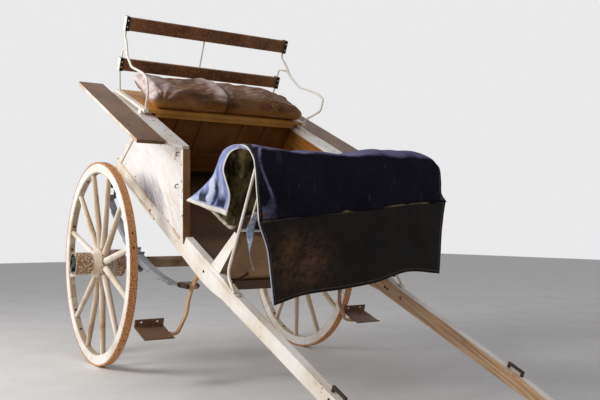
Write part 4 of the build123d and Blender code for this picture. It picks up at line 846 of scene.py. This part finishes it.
# Gathers crumple the turned-back strip near the hem
ways = edge_lengths(cloth_places)
gathers = np.zeros(cloth_places.shape[:2])
for spot in np.ndindex(*gathers.shape):
    near, start = ways["from_near"][spot], ways["from_start"][spot]
    gathers[spot] = noise.noise(Vector((near * 15 + start * 6, start * 9.0, 8.3)))
gathers = np.clip(gathers * 3.6, -1, 1)
gathers *= np.exp(-(((ways["from_start"] - 0.13) / 0.15) ** 2))
gathers *= np.clip(ways["from_near"] / 0.03 - 0.3, 0, 1)
gathers[:, fold_column - 2 :] = 0
cloth_places += outward(cloth_places) * gathers[..., None] * 0.009
cloth_folds = ((4, 3, 0.010), (9, 5, 0.006), (22, 10, 0.0025))
cloth_places, crest = crumple(cloth_places, cloth_folds, 3, fold_column)
cloth_places[..., 0] += axle.x
crest = np.where(np.abs(gathers) > 0.02, gathers, crest)
cloth_mesh = sheet_mesh("apron_cloth", cloth_places, crest, fold_column)
cloth = place_piece("apron_cloth", cloth_mesh, [cloth_finish, shaded_lining_finish], "cart")
thicken(cloth, "cloth_thickness", 0.003, -1, 1)

# %% [markdown]
# The foot piece is sewn to the cloth's front edge and hangs down to the toe board. Its table is made
# the same way, and the rows at the seam are kept behind the cloth.

# %% The apron's leather foot piece
# Columns are the leather's left edge, middle places and far edge, row by row from the seam to the hem
leather_rows = (
    ((-515, 838), (-301, 868), (-75, 889), (159, 914), (398, 938), (588, 950)),
    ((-515, 822), (-301, 850), (-75, 871), (159, 896), (398, 920), (584, 930)),
    ((-492, 765), (-290, 790), (-75, 800), (150, 822), (385, 845), (572, 860)),
    ((-470, 700), (-282, 720), (-75, 725), (145, 745), (370, 770), (562, 780)),
    ((-455, 600), (-278, 615), (-75, 625), (140, 645), (355, 680), (552, 680)),
    ((-442, 466), (-274, 505), (-76, 521), (135, 546), (337, 591), (540, 577)),
)
drop_ahead = (1579, 1581, 1580, 1577, 1575, 1573)
pins = [[(ahead, y, z) for y, z in line] for ahead, line in zip(drop_ahead, leather_rows)]
leather_places = smooth_sheet(np.array(pins, dtype=float), 80, 150)
leather_places, crest = crumple(leather_places, ((2.5, 3, 0.010), (7, 6, 0.004), (20, 20, 0.001)), 19)
leather_places[:6, :, 0] = np.minimum(leather_places[:6, :, 0], 1.5785)
leather_places[..., 0] += axle.x
leather_mesh = sheet_mesh("apron_leather", leather_places, crest)
leather = place_piece("apron_leather", leather_mesh, [apron_leather_finish], "cart")
thicken(leather, "leather_thickness", 0.0035, -1)
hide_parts("apron_front", "apron_flap")

# %% [markdown]
# The seat cushion is a leather sack, stuffed long ago and gone slack. A cloth simulation blows a
# rounded slab up a little, so that its sides pull in the way sewn leather does. Its height is then
# shaped, because the filling has wandered: high along the back, with a lump right of the middle,
# and flat at the far end. The near end lifts off the seat at the back, and folds fan out from the near
# front corner.

# %% The cushion
def seat_height(ahead):
    """The seat slopes a little against the body. Its top, in millimetres above the axle."""
    return 917 + (ahead + 585) * 0.05


def ease(value, start, end):
    """A soft step from 0 at start to 1 at end."""
    share = min(max((value - start) / (end - start), 0.0), 1.0)
    return share * share * (3 - 2 * share)


def bell(value, middle, width):
    return math.exp(-(((value - middle) / width) ** 2))


def near_lift(ahead, left):
    """How far the near end has come off the seat, from 0 to 1."""
    return ease(left, -395, -515) * ease(ahead, -190, -460)


slab_low, slab_high = (-476, -528, 1), (-68, 540, 112)
front_limit, side_limit = -52, 531  # millimetres that the leather keeps to, ahead and to the sides


def cushion_slab():
    """A rounded slab of even faces that fills the cushion's place on the seat."""
    bpy.ops.mesh.primitive_cube_add(size=1)
    slab = bpy.context.active_object
    slab.name = "seat_cushion"
    for vertex in slab.data.vertices:
        ahead, left, rise = ((a + b) / 2 + c * (b - a) for a, b, c in zip(slab_low, slab_high, vertex.co))
        vertex.co = cart(ahead, left, seat_height(ahead) + rise)
    bevel = slab.modifiers.new("rounding", "BEVEL")
    bevel.width = 0.042
    bevel.segments = 5
    remesh = slab.modifiers.new("even_faces", "REMESH")
    remesh.mode = "VOXEL"
    remesh.voxel_size = 0.008
    apply_modifiers(slab)
    return slab


def blow_up(piece, cap):
    """Runs the cloth simulation and keeps its shape, with no point further than cap from its start."""
    start = np.empty(len(piece.data.vertices) * 3)
    piece.data.vertices.foreach_get("co", start)
    cloth_sim = piece.modifiers.new("stuffing", "CLOTH")
    cloth_sim.settings.use_pressure = True
    cloth_sim.settings.uniform_pressure_force = 4
    cloth_sim.settings.effector_weights.gravity = 0
    cloth_sim.settings.quality = 4
    scene = bpy.context.scene
    for moment in range(1, 21):
        scene.frame_set(moment)
    apply_modifiers(piece)
    scene.frame_set(1)
    blown = np.empty(len(piece.data.vertices) * 3)
    piece.data.vertices.foreach_get("co", blown)
    step = (blown - start).reshape(-1, 3)
    reach = np.linalg.norm(step, axis=1, keepdims=True)
    step *= np.minimum(1, cap / np.maximum(reach, 1e-9))
    piece.data.vertices.foreach_set("co", (start.reshape(-1, 3) + step).ravel())
    return float(np.minimum(reach, cap).mean())


def slack(ahead, left, rise):
    """Where the wandered filling and the slack leather take a point of the plump slab."""
    full = min(rise / slab_high[2], 1.08)
    height = 134 - 26 * ease(ahead, -330, -90) - 26 * ease(left, 330, 500) - 6 * ease(left, -60, -330)
    ridge = left + 28 + 0.9 * (ahead + 250) ** 2 / 1000
    height += 12 * bell(ridge, 0, 70 if ridge < 0 else 20)
    height -= 9 * bell(ridge, 42, 18) + 9 * bell(left, 170, 45)
    fan, reach = math.atan2(ahead + 60, left + 455), math.hypot(ahead + 60, left + 455)
    folds = 7 * math.sin(11 * fan + 0.6) * bell(reach, 120, 130)
    dents = 11 * noise.noise(Vector((left / 120, ahead / 120, 2)))
    dents += 5 * noise.noise(Vector((left / 45 + ahead / 80, ahead / 45, 9)))
    height += folds + dents
    lift = 46 * near_lift(ahead, left)
    rise = max(full * height, 0.0) + lift * (1 - 0.75 * min(full, 1.0))
    low = 1 - min(full * 1.6, 1.0)
    ahead -= (26 + 16 * ease(left, -250, 0)) * low * low * ease(ahead, -260, -80)
    left += 34 * low * ease(left, -380, -510)
    left -= 12 * low * ease(left, 400, 515)
    ahead += 7 * noise.noise(Vector((left / 80, rise / 50, 5))) * ease(ahead, -330, -150)
    return ahead, left, rise


cushion = cushion_slab()
moved = blow_up(cushion, 0.018)
print("the filling moved the leather by", round(moved * 1000, 1), "mm on average")
for vertex in cushion.data.vertices:
    ahead, left, above = ((vertex.co - axle) @ way * 1000 for way in (forward, leftward, upward))
    ahead, left, rise = slack(ahead, left, above - seat_height(ahead))
    above = seat_height(ahead) + max(rise, 0.8)
    vertex.co = cart(min(ahead, front_limit), min(max(left, -side_limit), side_limit), above)
smoother = cushion.modifiers.new("one_subdivision", "SUBSURF")
smoother.levels = 1
smoother.render_levels = 1
apply_modifiers(cushion)
cushion.data.materials.clear()
cushion.data.materials.append(cushion_finish)
cushion.data.shade_smooth()
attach(cushion, "cart")
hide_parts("cushion")
print("cushion", len(cushion.data.polygons), "faces")

# %% [markdown]
# A welted seam joins the cushion's boxing to its bottom. Its path is found on the finished leather:
# rays run in from all round at a low height, and a thin cord of leather follows the places they hit.

# %% The cushion's seam
def tube(name, line, radius, sides=8, closed=False):
    """A mesh tube along a line of world places."""
    line = [Vector(place) for place in line]
    count = len(line)
    vertices, faces = [], []
    side = None
    for index, place in enumerate(line):
        before = line[index - 1] if index or closed else place
        after = line[(index + 1) % count] if index < count - 1 or closed else place
        way = (after - before).normalized()
        side = (side - way * side.dot(way)).normalized() if side else way.orthogonal().normalized()
        other = way.cross(side)
        for step in range(sides):
            angle = 2 * math.pi * step / sides
            vertices.append(place + (side * math.cos(angle) + other * math.sin(angle)) * radius)
    for index in range(count if closed else count - 1):
        for step in range(sides):
            a, b = index * sides + step, index * sides + (step + 1) % sides
            faces.append((a, b, (b + sides) % len(vertices), (a + sides) % len(vertices)))
    if not closed:
        faces.append(tuple(reversed(range(sides))))
        faces.append(tuple(range(len(vertices) - sides, len(vertices))))
    mesh = bpy.data.meshes.new(name)
    mesh.from_pydata([tuple(v) for v in vertices], [], faces)
    mesh.shade_smooth()
    return mesh


bpy.context.view_layer.update()
seam = []
seam_steps, middle_ahead, half_long, half_wide = 180, -272, 210, 520
for step in range(seam_steps):
    angle = 2 * math.pi * step / seam_steps
    edge = max(abs(math.cos(angle)) / half_long, abs(math.sin(angle)) / half_wide)
    out, left = math.cos(angle) / edge, math.sin(angle) / edge
    above = seat_height(middle_ahead + out) + 17 + 40 * near_lift(middle_ahead + out, left)
    start, end = (cart(middle_ahead + out * far, left * far, above) for far in (1.3, 0.4))
    found, place, _, _ = cushion.ray_cast(start, (end - start).normalized())
    if found:
        seam.append(place)
cord = tube("cushion_seam", seam, 0.0032, closed=True)
place_piece("cushion_seam", cord, [piping_finish], "cart")
seam_length = sum((Vector(b) - Vector(a)).length for a, b in zip(seam, seam[1:] + seam[:1]))
print("seam places", len(seam), "and its length", round(seam_length, 2), "m")

# %% [markdown]
# A strap hangs from the apron's near corner. It is wide and grey-blue where it faces out, and turns
# edge-on on its way down, where it has snagged on the toe board's side. Each pin below gives its
# middle, half its width, and how far it has turned.

# %% The apron's strap
# Columns are ahead of the axle, left, height, half the width, and turn in degrees
strap_pins = ((1538, -497, 878, 12, 70), (1500, -499, 840, 15, 62), (1480, -501, 806, 17, 58),
              (1478, -502, 776, 17, 50), (1477, -502, 744, 13, 25), (1472, -502, 712, 10, -15),
              (1478, -502, 680, 9, -30), (1494, -502, 648, 9, -32), (1509, -501, 621, 8, -30))
strap_places = []
for x, y, z, half, turned in smooth(strap_pins, 60):
    side = Vector((math.cos(math.radians(turned)), math.sin(math.radians(turned)), 0))
    strap_places.append([Vector((x, y, z)) + side * half * share for share in np.linspace(-1, 1, 7)])
strap_places = np.array([[tuple(place) for place in row] for row in strap_places]) / 1000
strap_places[..., 0] += axle.x
strap_mesh = sheet_mesh("apron_strap", strap_places)
strap = place_piece("apron_strap", strap_mesh, [strap_finish], "cart")
thicken(strap, "strap_thickness", 0.0028, 0)

# %% [markdown]
# Two small hooks stand on the near panel. Each is a tube along a bent line, given in millimetres out
# from the panel, ahead and up, and the two tubes are joined into one piece.

# %% Hooks on the near panel
hook_line = smooth(((0, 0, 9), (9, 0, 9), (15, 0, 6), (17, 0, -1), (16, 0, -8), (11, 0, -12), (7, 0, -9)), 20)
hook_spots = ((379, 836), (440, 676))  # ahead and above, on the panel's face
panel_face = -501
vertices, faces = [], []
for ahead, above in hook_spots:
    line = [cart(ahead + b, panel_face - a, above + c) for a, b, c in hook_line]
    mesh = tube("hook", line, 0.0027)
    faces += [tuple(index + len(vertices) for index in polygon.vertices) for polygon in mesh.polygons]
    vertices += [tuple(vertex.co) for vertex in mesh.vertices]
    bpy.data.meshes.remove(mesh)
hooks = bpy.data.meshes.new("panel_hooks")
hooks.from_pydata(vertices, [], faces)
hooks.shade_smooth()
place_piece("panel_hooks", hooks, [irons["dark", "cart"]], "cart")
print("hooks at", len(hook_spots), "places")

# %% [markdown]
# Heads of bolts, nails and rivets repeat all over the gig, and so do the stitches along the hems. One
# Geometry Nodes tree makes them all. It puts a small shape, a flat base under a dome, on every point
# of a point mesh, turned the way that the point's own arrows say. Its sizes are named inputs.

# %% One tree for heads and stitches
def head_tree():
    tree = bpy.data.node_groups.new("heads_and_stitches", "GeometryNodeTree")
    tree.interface.new_socket(name="Places", in_out="INPUT", socket_type="NodeSocketGeometry")
    tree.interface.new_socket(name="Heads", in_out="OUTPUT", socket_type="NodeSocketGeometry")
    for name, kind in (("Sides", "Int"), ("Radius", "Float"), ("Height", "Float"), ("Dome", "Float"),
                       ("Stretch", "Vector"), ("Spread", "Float"), ("Seed", "Int"), ("Finish", "Material")):
        tree.interface.new_socket(name=name, in_out="INPUT", socket_type="NodeSocket" + kind)
    start = tree.nodes.new("NodeGroupInput")

    def add(kind, settings=None, inputs=None):
        made = tree.nodes.new(kind)
        for key, value in (settings or {}).items():
            setattr(made, key, value)
        for key, value in (inputs or {}).items():
            if isinstance(key, str):
                socket = next(s for s in made.inputs if s.enabled and s.name == key)
            else:
                socket = made.inputs[key]
            if hasattr(value, "is_output"):
                tree.links.new(value, socket)
            else:
                socket.default_value = value
        return made

    def out(made, name):
        return next(s for s in made.outputs if s.enabled and s.name == name)

    given = {s.name: s for s in start.outputs if s.name}
    base = add("GeometryNodeMeshCylinder", None, {
        "Vertices": given["Sides"], "Radius": given["Radius"], "Depth": given["Height"]})
    half = add("ShaderNodeMath", {"operation": "MULTIPLY"}, {0: given["Height"], 1: 0.5})
    lift = add("ShaderNodeCombineXYZ", None, {"Z": half.outputs[0]})
    base = add("GeometryNodeTransform", None, {"Geometry": out(base, "Mesh"), "Translation": lift.outputs[0]})
    dome = add("GeometryNodeMeshUVSphere", None, {"Segments": 10, "Rings": 6, "Radius": 1.0})
    width = add("ShaderNodeMath", {"operation": "MULTIPLY"}, {0: given["Radius"], 1: 0.82})
    scale = add("ShaderNodeCombineXYZ", None, {
        "X": width.outputs[0], "Y": width.outputs[0], "Z": given["Dome"]})
    lift = add("ShaderNodeCombineXYZ", None, {"Z": given["Height"]})
    dome = add("GeometryNodeTransform", None, {
        "Geometry": out(dome, "Mesh"), "Translation": lift.outputs[0], "Scale": scale.outputs[0]})
    shape = add("GeometryNodeJoinGeometry")
    for part in (dome, base):
        tree.links.new(out(part, "Geometry"), shape.inputs[0])
    facing, along = (
        add("GeometryNodeInputNamedAttribute", {"data_type": "FLOAT_VECTOR"}, {"Name": name})
        for name in ("facing", "along")
    )
    turn = add("FunctionNodeAxesToRotation", {"primary_axis": "Z", "secondary_axis": "X"},
               {"Primary Axis": out(facing, "Attribute"), "Secondary Axis": out(along, "Attribute")})
    least, most = (
        add("ShaderNodeMath", {"operation": operation}, {0: 1.0, 1: given["Spread"]})
        for operation in ("SUBTRACT", "ADD")
    )
    vary = add("FunctionNodeRandomValue", {"data_type": "FLOAT"},
               {"Min": least.outputs[0], "Max": most.outputs[0], "Seed": given["Seed"]})
    size = add("ShaderNodeVectorMath", {"operation": "SCALE"}, {
        0: given["Stretch"], "Scale": out(vary, "Value")})
    placed = add("GeometryNodeInstanceOnPoints", None, {
        "Points": given["Places"], "Instance": out(shape, "Geometry"),
        "Rotation": out(turn, "Rotation"), "Scale": size.outputs[0]})
    real = add("GeometryNodeRealizeInstances", None, {"Geometry": out(placed, "Instances")})
    done = add("GeometryNodeSetMaterial", None, {
        "Geometry": out(real, "Geometry"), "Material": given["Finish"]})
    end = tree.nodes.new("NodeGroupOutput")
    tree.links.new(out(done, "Geometry"), end.inputs[0])
    return tree


heads = head_tree()


def scatter(name, spots, finish, body, slot, sides, radius, height, dome,
            stretch=(1, 1, 1), spread=0.06, seed=1):
    """One plain mesh of heads. Each spot is a place, the way it faces, and the way along."""
    mesh = bpy.data.meshes.new(name)
    mesh.from_pydata([tuple(place) for place, facing, along in spots], [], [])
    for key, column in (("facing", 1), ("along", 2)):
        values = np.array([tuple(spot[column]) for spot in spots], dtype=np.float32)
        mesh.attributes.new(key, "FLOAT_VECTOR", "POINT").data.foreach_set("vector", values.ravel())
    piece = bpy.data.objects.new(name, mesh)
    bpy.context.scene.collection.objects.link(piece)
    modifier = piece.modifiers.new("heads", "NODES")
    modifier.node_group = heads
    values = {"Sides": sides, "Radius": radius, "Height": height, "Dome": dome, "Stretch": stretch,
              "Spread": spread, "Seed": seed, "Finish": finish}
    for item in heads.interface.items_tree:
        if item.in_out == "INPUT" and item.name in values:
            modifier[item.identifier] = values[item.name]
    apply_modifiers(piece)
    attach(piece, body)
    return piece


print("tree", heads.name, "has", len(heads.nodes), "nodes")

# %% [markdown]
# Nobody needs to know a surface's exact place to put a nail in it. A ray from outside the gig finds it:
# each entry below names a node, a spot in the cart's directions and the way that the head faces.

# %% Bolts, nails and screws
facings = {"right": -leftward, "left": leftward, "up": upward, "front": forward, "back": -forward}


ray_start = 0.25  # metres outside the surface


def found_spots(node, entries):
    """Places on a node's surface for entries of ahead, left, above and a facing."""
    target = nodes[node]
    back = target.matrix_world.inverted()
    spots = []
    for ahead, left, above, way in entries:
        facing = facings[way] if isinstance(way, str) else way
        start = cart(ahead, left, above) + facing * ray_start
        hit, place, normal, _ = target.ray_cast(back @ start, back.to_3x3() @ -facing)
        if hit:
            normal = (target.matrix_world.to_3x3() @ normal).normalized()
            spots.append((target.matrix_world @ place, normal, normal.orthogonal()))
        else:
            print("no", node, "at", ahead, left, above)
    return spots


def both(entries):
    """The same entries on both sides of the gig."""
    other = {"right": "left", "left": "right"}
    return entries + [(a, -b, c, other.get(way, way)) for a, b, c, way in entries]


bolts = found_spots("shafts", both([
    (130, -505, 400, "right"), (912, -505, 405, "right"), (1199, -440, 414, "left"),
    (1175, -440, 413, "left"), (2084, -505, 462, "right"), (2136, -505, 462, "right")]))
knobs = found_spots("shafts", both([(1310, -440, 418, "left")]))
screws = found_spots("rail_irons", both([(-560, -559, v, "front") for v in (1068, 1100, 1316, 1356)]))
nail_rows = {
    "side_panels": both(
        [(u, -503, 466 + (215 - u) * 0.07, "right") for u in range(-360, 500, 95)]
        + [(u, -503, 868, "right") for u in range(-100, 330, 95)]),
    "front_posts": both([(404 + (880 - v) * 0.52, -507, v, "right") for v in (560, 640, 720, 800)]),
    "floor_boards": [
        (u + d, y, 446, "up") for u in (-400, 130, 640) for y in range(-420, 421, 70) for d in (-9, 10)],
    "toe_planks": [
        (1010 + s * 143, y, 418 + s * 287, forward * -0.89 + upward * 0.45)
        for s in (0.1, 0.25, 0.42, 0.6, 0.78, 0.93) for y in (-445, -432, 0, 12, 432, 445)],
    "wing_boards": both([(u, -y, 900, "up") for u in (-480, -120, 110, 330) for y in (612, 700)]),
    "side_ledges": both([(u, -515, 900, "up") for u in range(-100, 410, 90)]),
    "seat_board": [(-120, y, 940, "up") for y in range(-480, 481, 120)],
    "tail_board": [
        (-520 + s * 300, y, 460 + s * 300, "back") for s in (0.1, 0.5, 0.9) for y in (-455, -150, 150, 455)],
}
nails = [spot for node, entries in nail_rows.items() for spot in found_spots(node, entries)]
# Columns are name, spots, iron, slot, sides, radius, height, dome, spread and seed
for name, spots, iron, slot, sides, radius, height, dome, spread, seed in (
    ("shaft_knobs", knobs, "hanger", "rusty_iron", 14, 0.0125, 0.002, 0.005, 0.06, 1),
    ("cart_bolts", bolts, "dark", "dark_iron", 6, 0.0072, 0.003, 0.0026, 0.06, 1),
    ("cart_nails", nails, "dark", "dark_iron", 8, 0.0042, 0.0007, 0.0012, 0.25, 4),
    ("rail_screws", screws, "pale", "dark_iron", 10, 0.0045, 0.001, 0.0022, 0.06, 1),
):
    finish = irons[iron, "cart"]
    scatter(name, spots, finish, "cart", slot, sides, radius, height, dome, spread=spread, seed=seed)

# %% [markdown]
# Each rim part has two bolts through the tyre and two on the inner side of the rim. Rays find them too:
# in to the tyre from outside, and out to the rim from between the spokes. The tyre's are sunk, as if
# the road had worn them down, until they stand out by about a millimetre.

# %% Bolts on the rims
wheel_plane = 0.712  # metres from the gig's middle to the middle of a rim
# Columns are degrees from a joint, node, where the ray starts, its way, and how deep the bolt is sunk
rim_rows = ((-15.7, "tyre", 0.66, -1, 0.0024), (-8, "tyre", 0.66, -1, 0.0024),
            (10.3, "felloes", 0.45, 1, 0), (26.8, "felloes", 0.45, 1, 0))
for side, joint in joint_turns.items():
    rim_bolts = []
    middle = axle + leftward * (wheel_plane if side == "left" else -wheel_plane)
    for number in range(rim_parts):
        for offset, target, reach, way, sunk in rim_rows:
            angle = math.radians(joint + number * 360 / rim_parts + offset)
            out = Vector((math.cos(angle), 0, math.sin(angle)))
            node = nodes[f"{target}_{side}"]
            start = node.matrix_world.inverted() @ (middle + out * reach)
            hit, place, normal, _ = node.ray_cast(start, out * way)
            if hit:
                rim_bolts.append((place - out * sunk, out * -way, leftward))
    finish = irons["dark", "cart"]
    scatter(f"rim_bolts_{side}", rim_bolts, finish, f"wheel_{side}", "dark_iron", 6, 0.0085, 0.0022, 0.0016)
print("heads placed:", len(rim_bolts), "on a wheel,", len(nails), "nails")

# %% [markdown]
# Stitches run along the hems at equal steps, a little inside the edge, and sit slightly sunk in the
# cloth or leather. Two copper rivets hold the corners where the cloth meets the foot piece.

# %% Copper rivets and stitches on the apron
def stitch_spots(places, edge, inside, step):
    """Spots at equal steps along a line that runs inside one edge of a sheet."""
    grid, out = places, outward(places)
    if edge in ("start", "end"):
        grid, out = grid.transpose(1, 0, 2), out.transpose(1, 0, 2)
    if edge in ("far", "end"):
        grid, out = grid[:, ::-1], out[:, ::-1]
    lengths = edge_lengths(grid)["from_near"]
    line, face = (
        np.array([[np.interp(inside, way, row[:, k]) for k in range(3)] for row, way in zip(values, lengths)])
        for values in (grid, out)
    )
    way = np.cumsum(np.linalg.norm(np.diff(line, axis=0, prepend=line[:1]), axis=1))
    spots = []
    for at in np.arange(step, way[-1] - step, step):
        place, facing, ahead = (
            Vector([np.interp(at, way, values[:, k]) for k in range(3)])
            for values in (line, face, np.gradient(line, axis=0))
        )
        spots.append((place - facing.normalized() * stitch_sunk, facing.normalized(), ahead.normalized()))
    return spots


stitch_sunk = 0.0015
stitch = dict(sides=6, radius=0.0011, height=0.0003, dome=0.0024, stretch=(2.6, 1, 1), spread=0.1)
hem = []
for edge, inside in (("start", 0.012), ("near", 0.0135), ("far", 0.012)):
    hem += stitch_spots(cloth_places, edge, inside, 0.0095)
hem += stitch_spots(cloth_places[:, fold_column:], "near", 0.013, 0.0095)
cloth_stitches = scatter("cloth_stitches", hem, thread.material, "cart", "apron_cloth", **stitch)
hem = []
for edge, inside in (("near", 0.013), ("end", 0.014), ("far", 0.013), ("start", 0.012)):
    hem += stitch_spots(leather_places, edge, inside, 0.011)
leather_stitches = scatter("leather_stitches", hem, thread.material, "cart", "dash_leather", **stitch)

copper = Finish("copper_rivets", roughness=0.45, metallic=0.6)
patina = copper.noise(copper.place, 160.0, 4.0, 0.7)
copper.feed("Base Color", copper.ramp(patina, (0.35, "#35201a"), (0.5, "#63392b"), (0.66, "#8d5a44")))
copper.feed("Roughness", 0.35 + patina * 0.4)
rivets = []
first = fold_column + 4  # past the fold, so that no rivet lands on the layer that is turned back
from_end, out = edge_lengths(cloth_places)["from_end"], outward(cloth_places)
for across in (-496, 545):
    column = first + np.abs(cloth_places[-12, first:, 1] * 1000 - across).argmin()
    row = np.abs(from_end[:, column] - 0.024).argmin()
    rivets.append((Vector(cloth_places[row, column]), Vector(out[row, column]), leftward))
scatter("apron_rivets", rivets, copper.material, "cart", "dark_iron", 14, 0.0095, 0.001, 0.003)
print("stitches:", len(cloth_stitches.data.polygons) + len(leather_stitches.data.polygons), "faces")

# %% [markdown]
# The light is a big soft lamp on the gig's right, so outer sides are bright and fronts are dark, as in
# the photograph. The world fills the shadows. Light Path lets rays from the camera and from glossy or
# clear surfaces see the world paler than it lights, so that white paint doesn't burn out.

# %% Floor, backdrop and light
lamp_watts, lamp_width = 175, 2.2
lamp_place, lamp_target = Vector((-1.1, -4.6, 3.1)), Vector((0, 0, 0.8))
seen_grey, lighting_grey = (0.82, 0.82, 0.83, 1), (0.36, 0.36, 0.38, 1)
bpy.ops.mesh.primitive_plane_add(size=30)
floor = bpy.context.active_object
floor.name = "studio_floor"
floor_finish = Finish("studio_floor", roughness=0.9)
floor_tone = floor_finish.noise(floor_finish.place, 3.0, 5.0, 0.6)
floor_finish.feed("Base Color", floor_finish.ramp(floor_tone, (0.3, "#dedcd8"), (0.7, "#e8e6e3")))
floor.data.materials.append(floor_finish.material)
lamp_data = bpy.data.lights.new("soft_lamp", "AREA")
lamp_data.energy = lamp_watts
lamp_data.size = lamp_width
lamp = bpy.data.objects.new("soft_lamp", lamp_data)
lamp.location = lamp_place
lamp.rotation_euler = (lamp_target - lamp_place).to_track_quat("-Z", "Y").to_euler()
bpy.context.scene.collection.objects.link(lamp)

world = bpy.data.worlds.new("studio")
bpy.context.scene.world = world
world.use_nodes = True
sky = world.node_tree
seen = sky.nodes["Background"]
lights = sky.nodes.new("ShaderNodeBackground")
seen.inputs[0].default_value, lights.inputs[0].default_value = seen_grey, lighting_grey
rays = sky.nodes.new("ShaderNodeLightPath")
sees_pale = rays.outputs["Is Camera Ray"]
for kind in ("Is Glossy Ray", "Is Transmission Ray"):
    either = sky.nodes.new("ShaderNodeMath")
    either.operation = "MAXIMUM"
    sky.links.new(sees_pale, either.inputs[0])
    sky.links.new(rays.outputs[kind], either.inputs[1])
    sees_pale = either.outputs[0]
choose = sky.nodes.new("ShaderNodeMixShader")
for place, socket in enumerate((sees_pale, lights.outputs[0], seen.outputs[0])):
    sky.links.new(socket, choose.inputs[place])
sky.links.new(choose.outputs[0], sky.nodes["World Output"].inputs[0])
bpy.context.scene.view_settings.view_transform = "Standard"
print("lamp", lamp_data.energy, "W at", tuple(round(c, 1) for c in lamp.location))
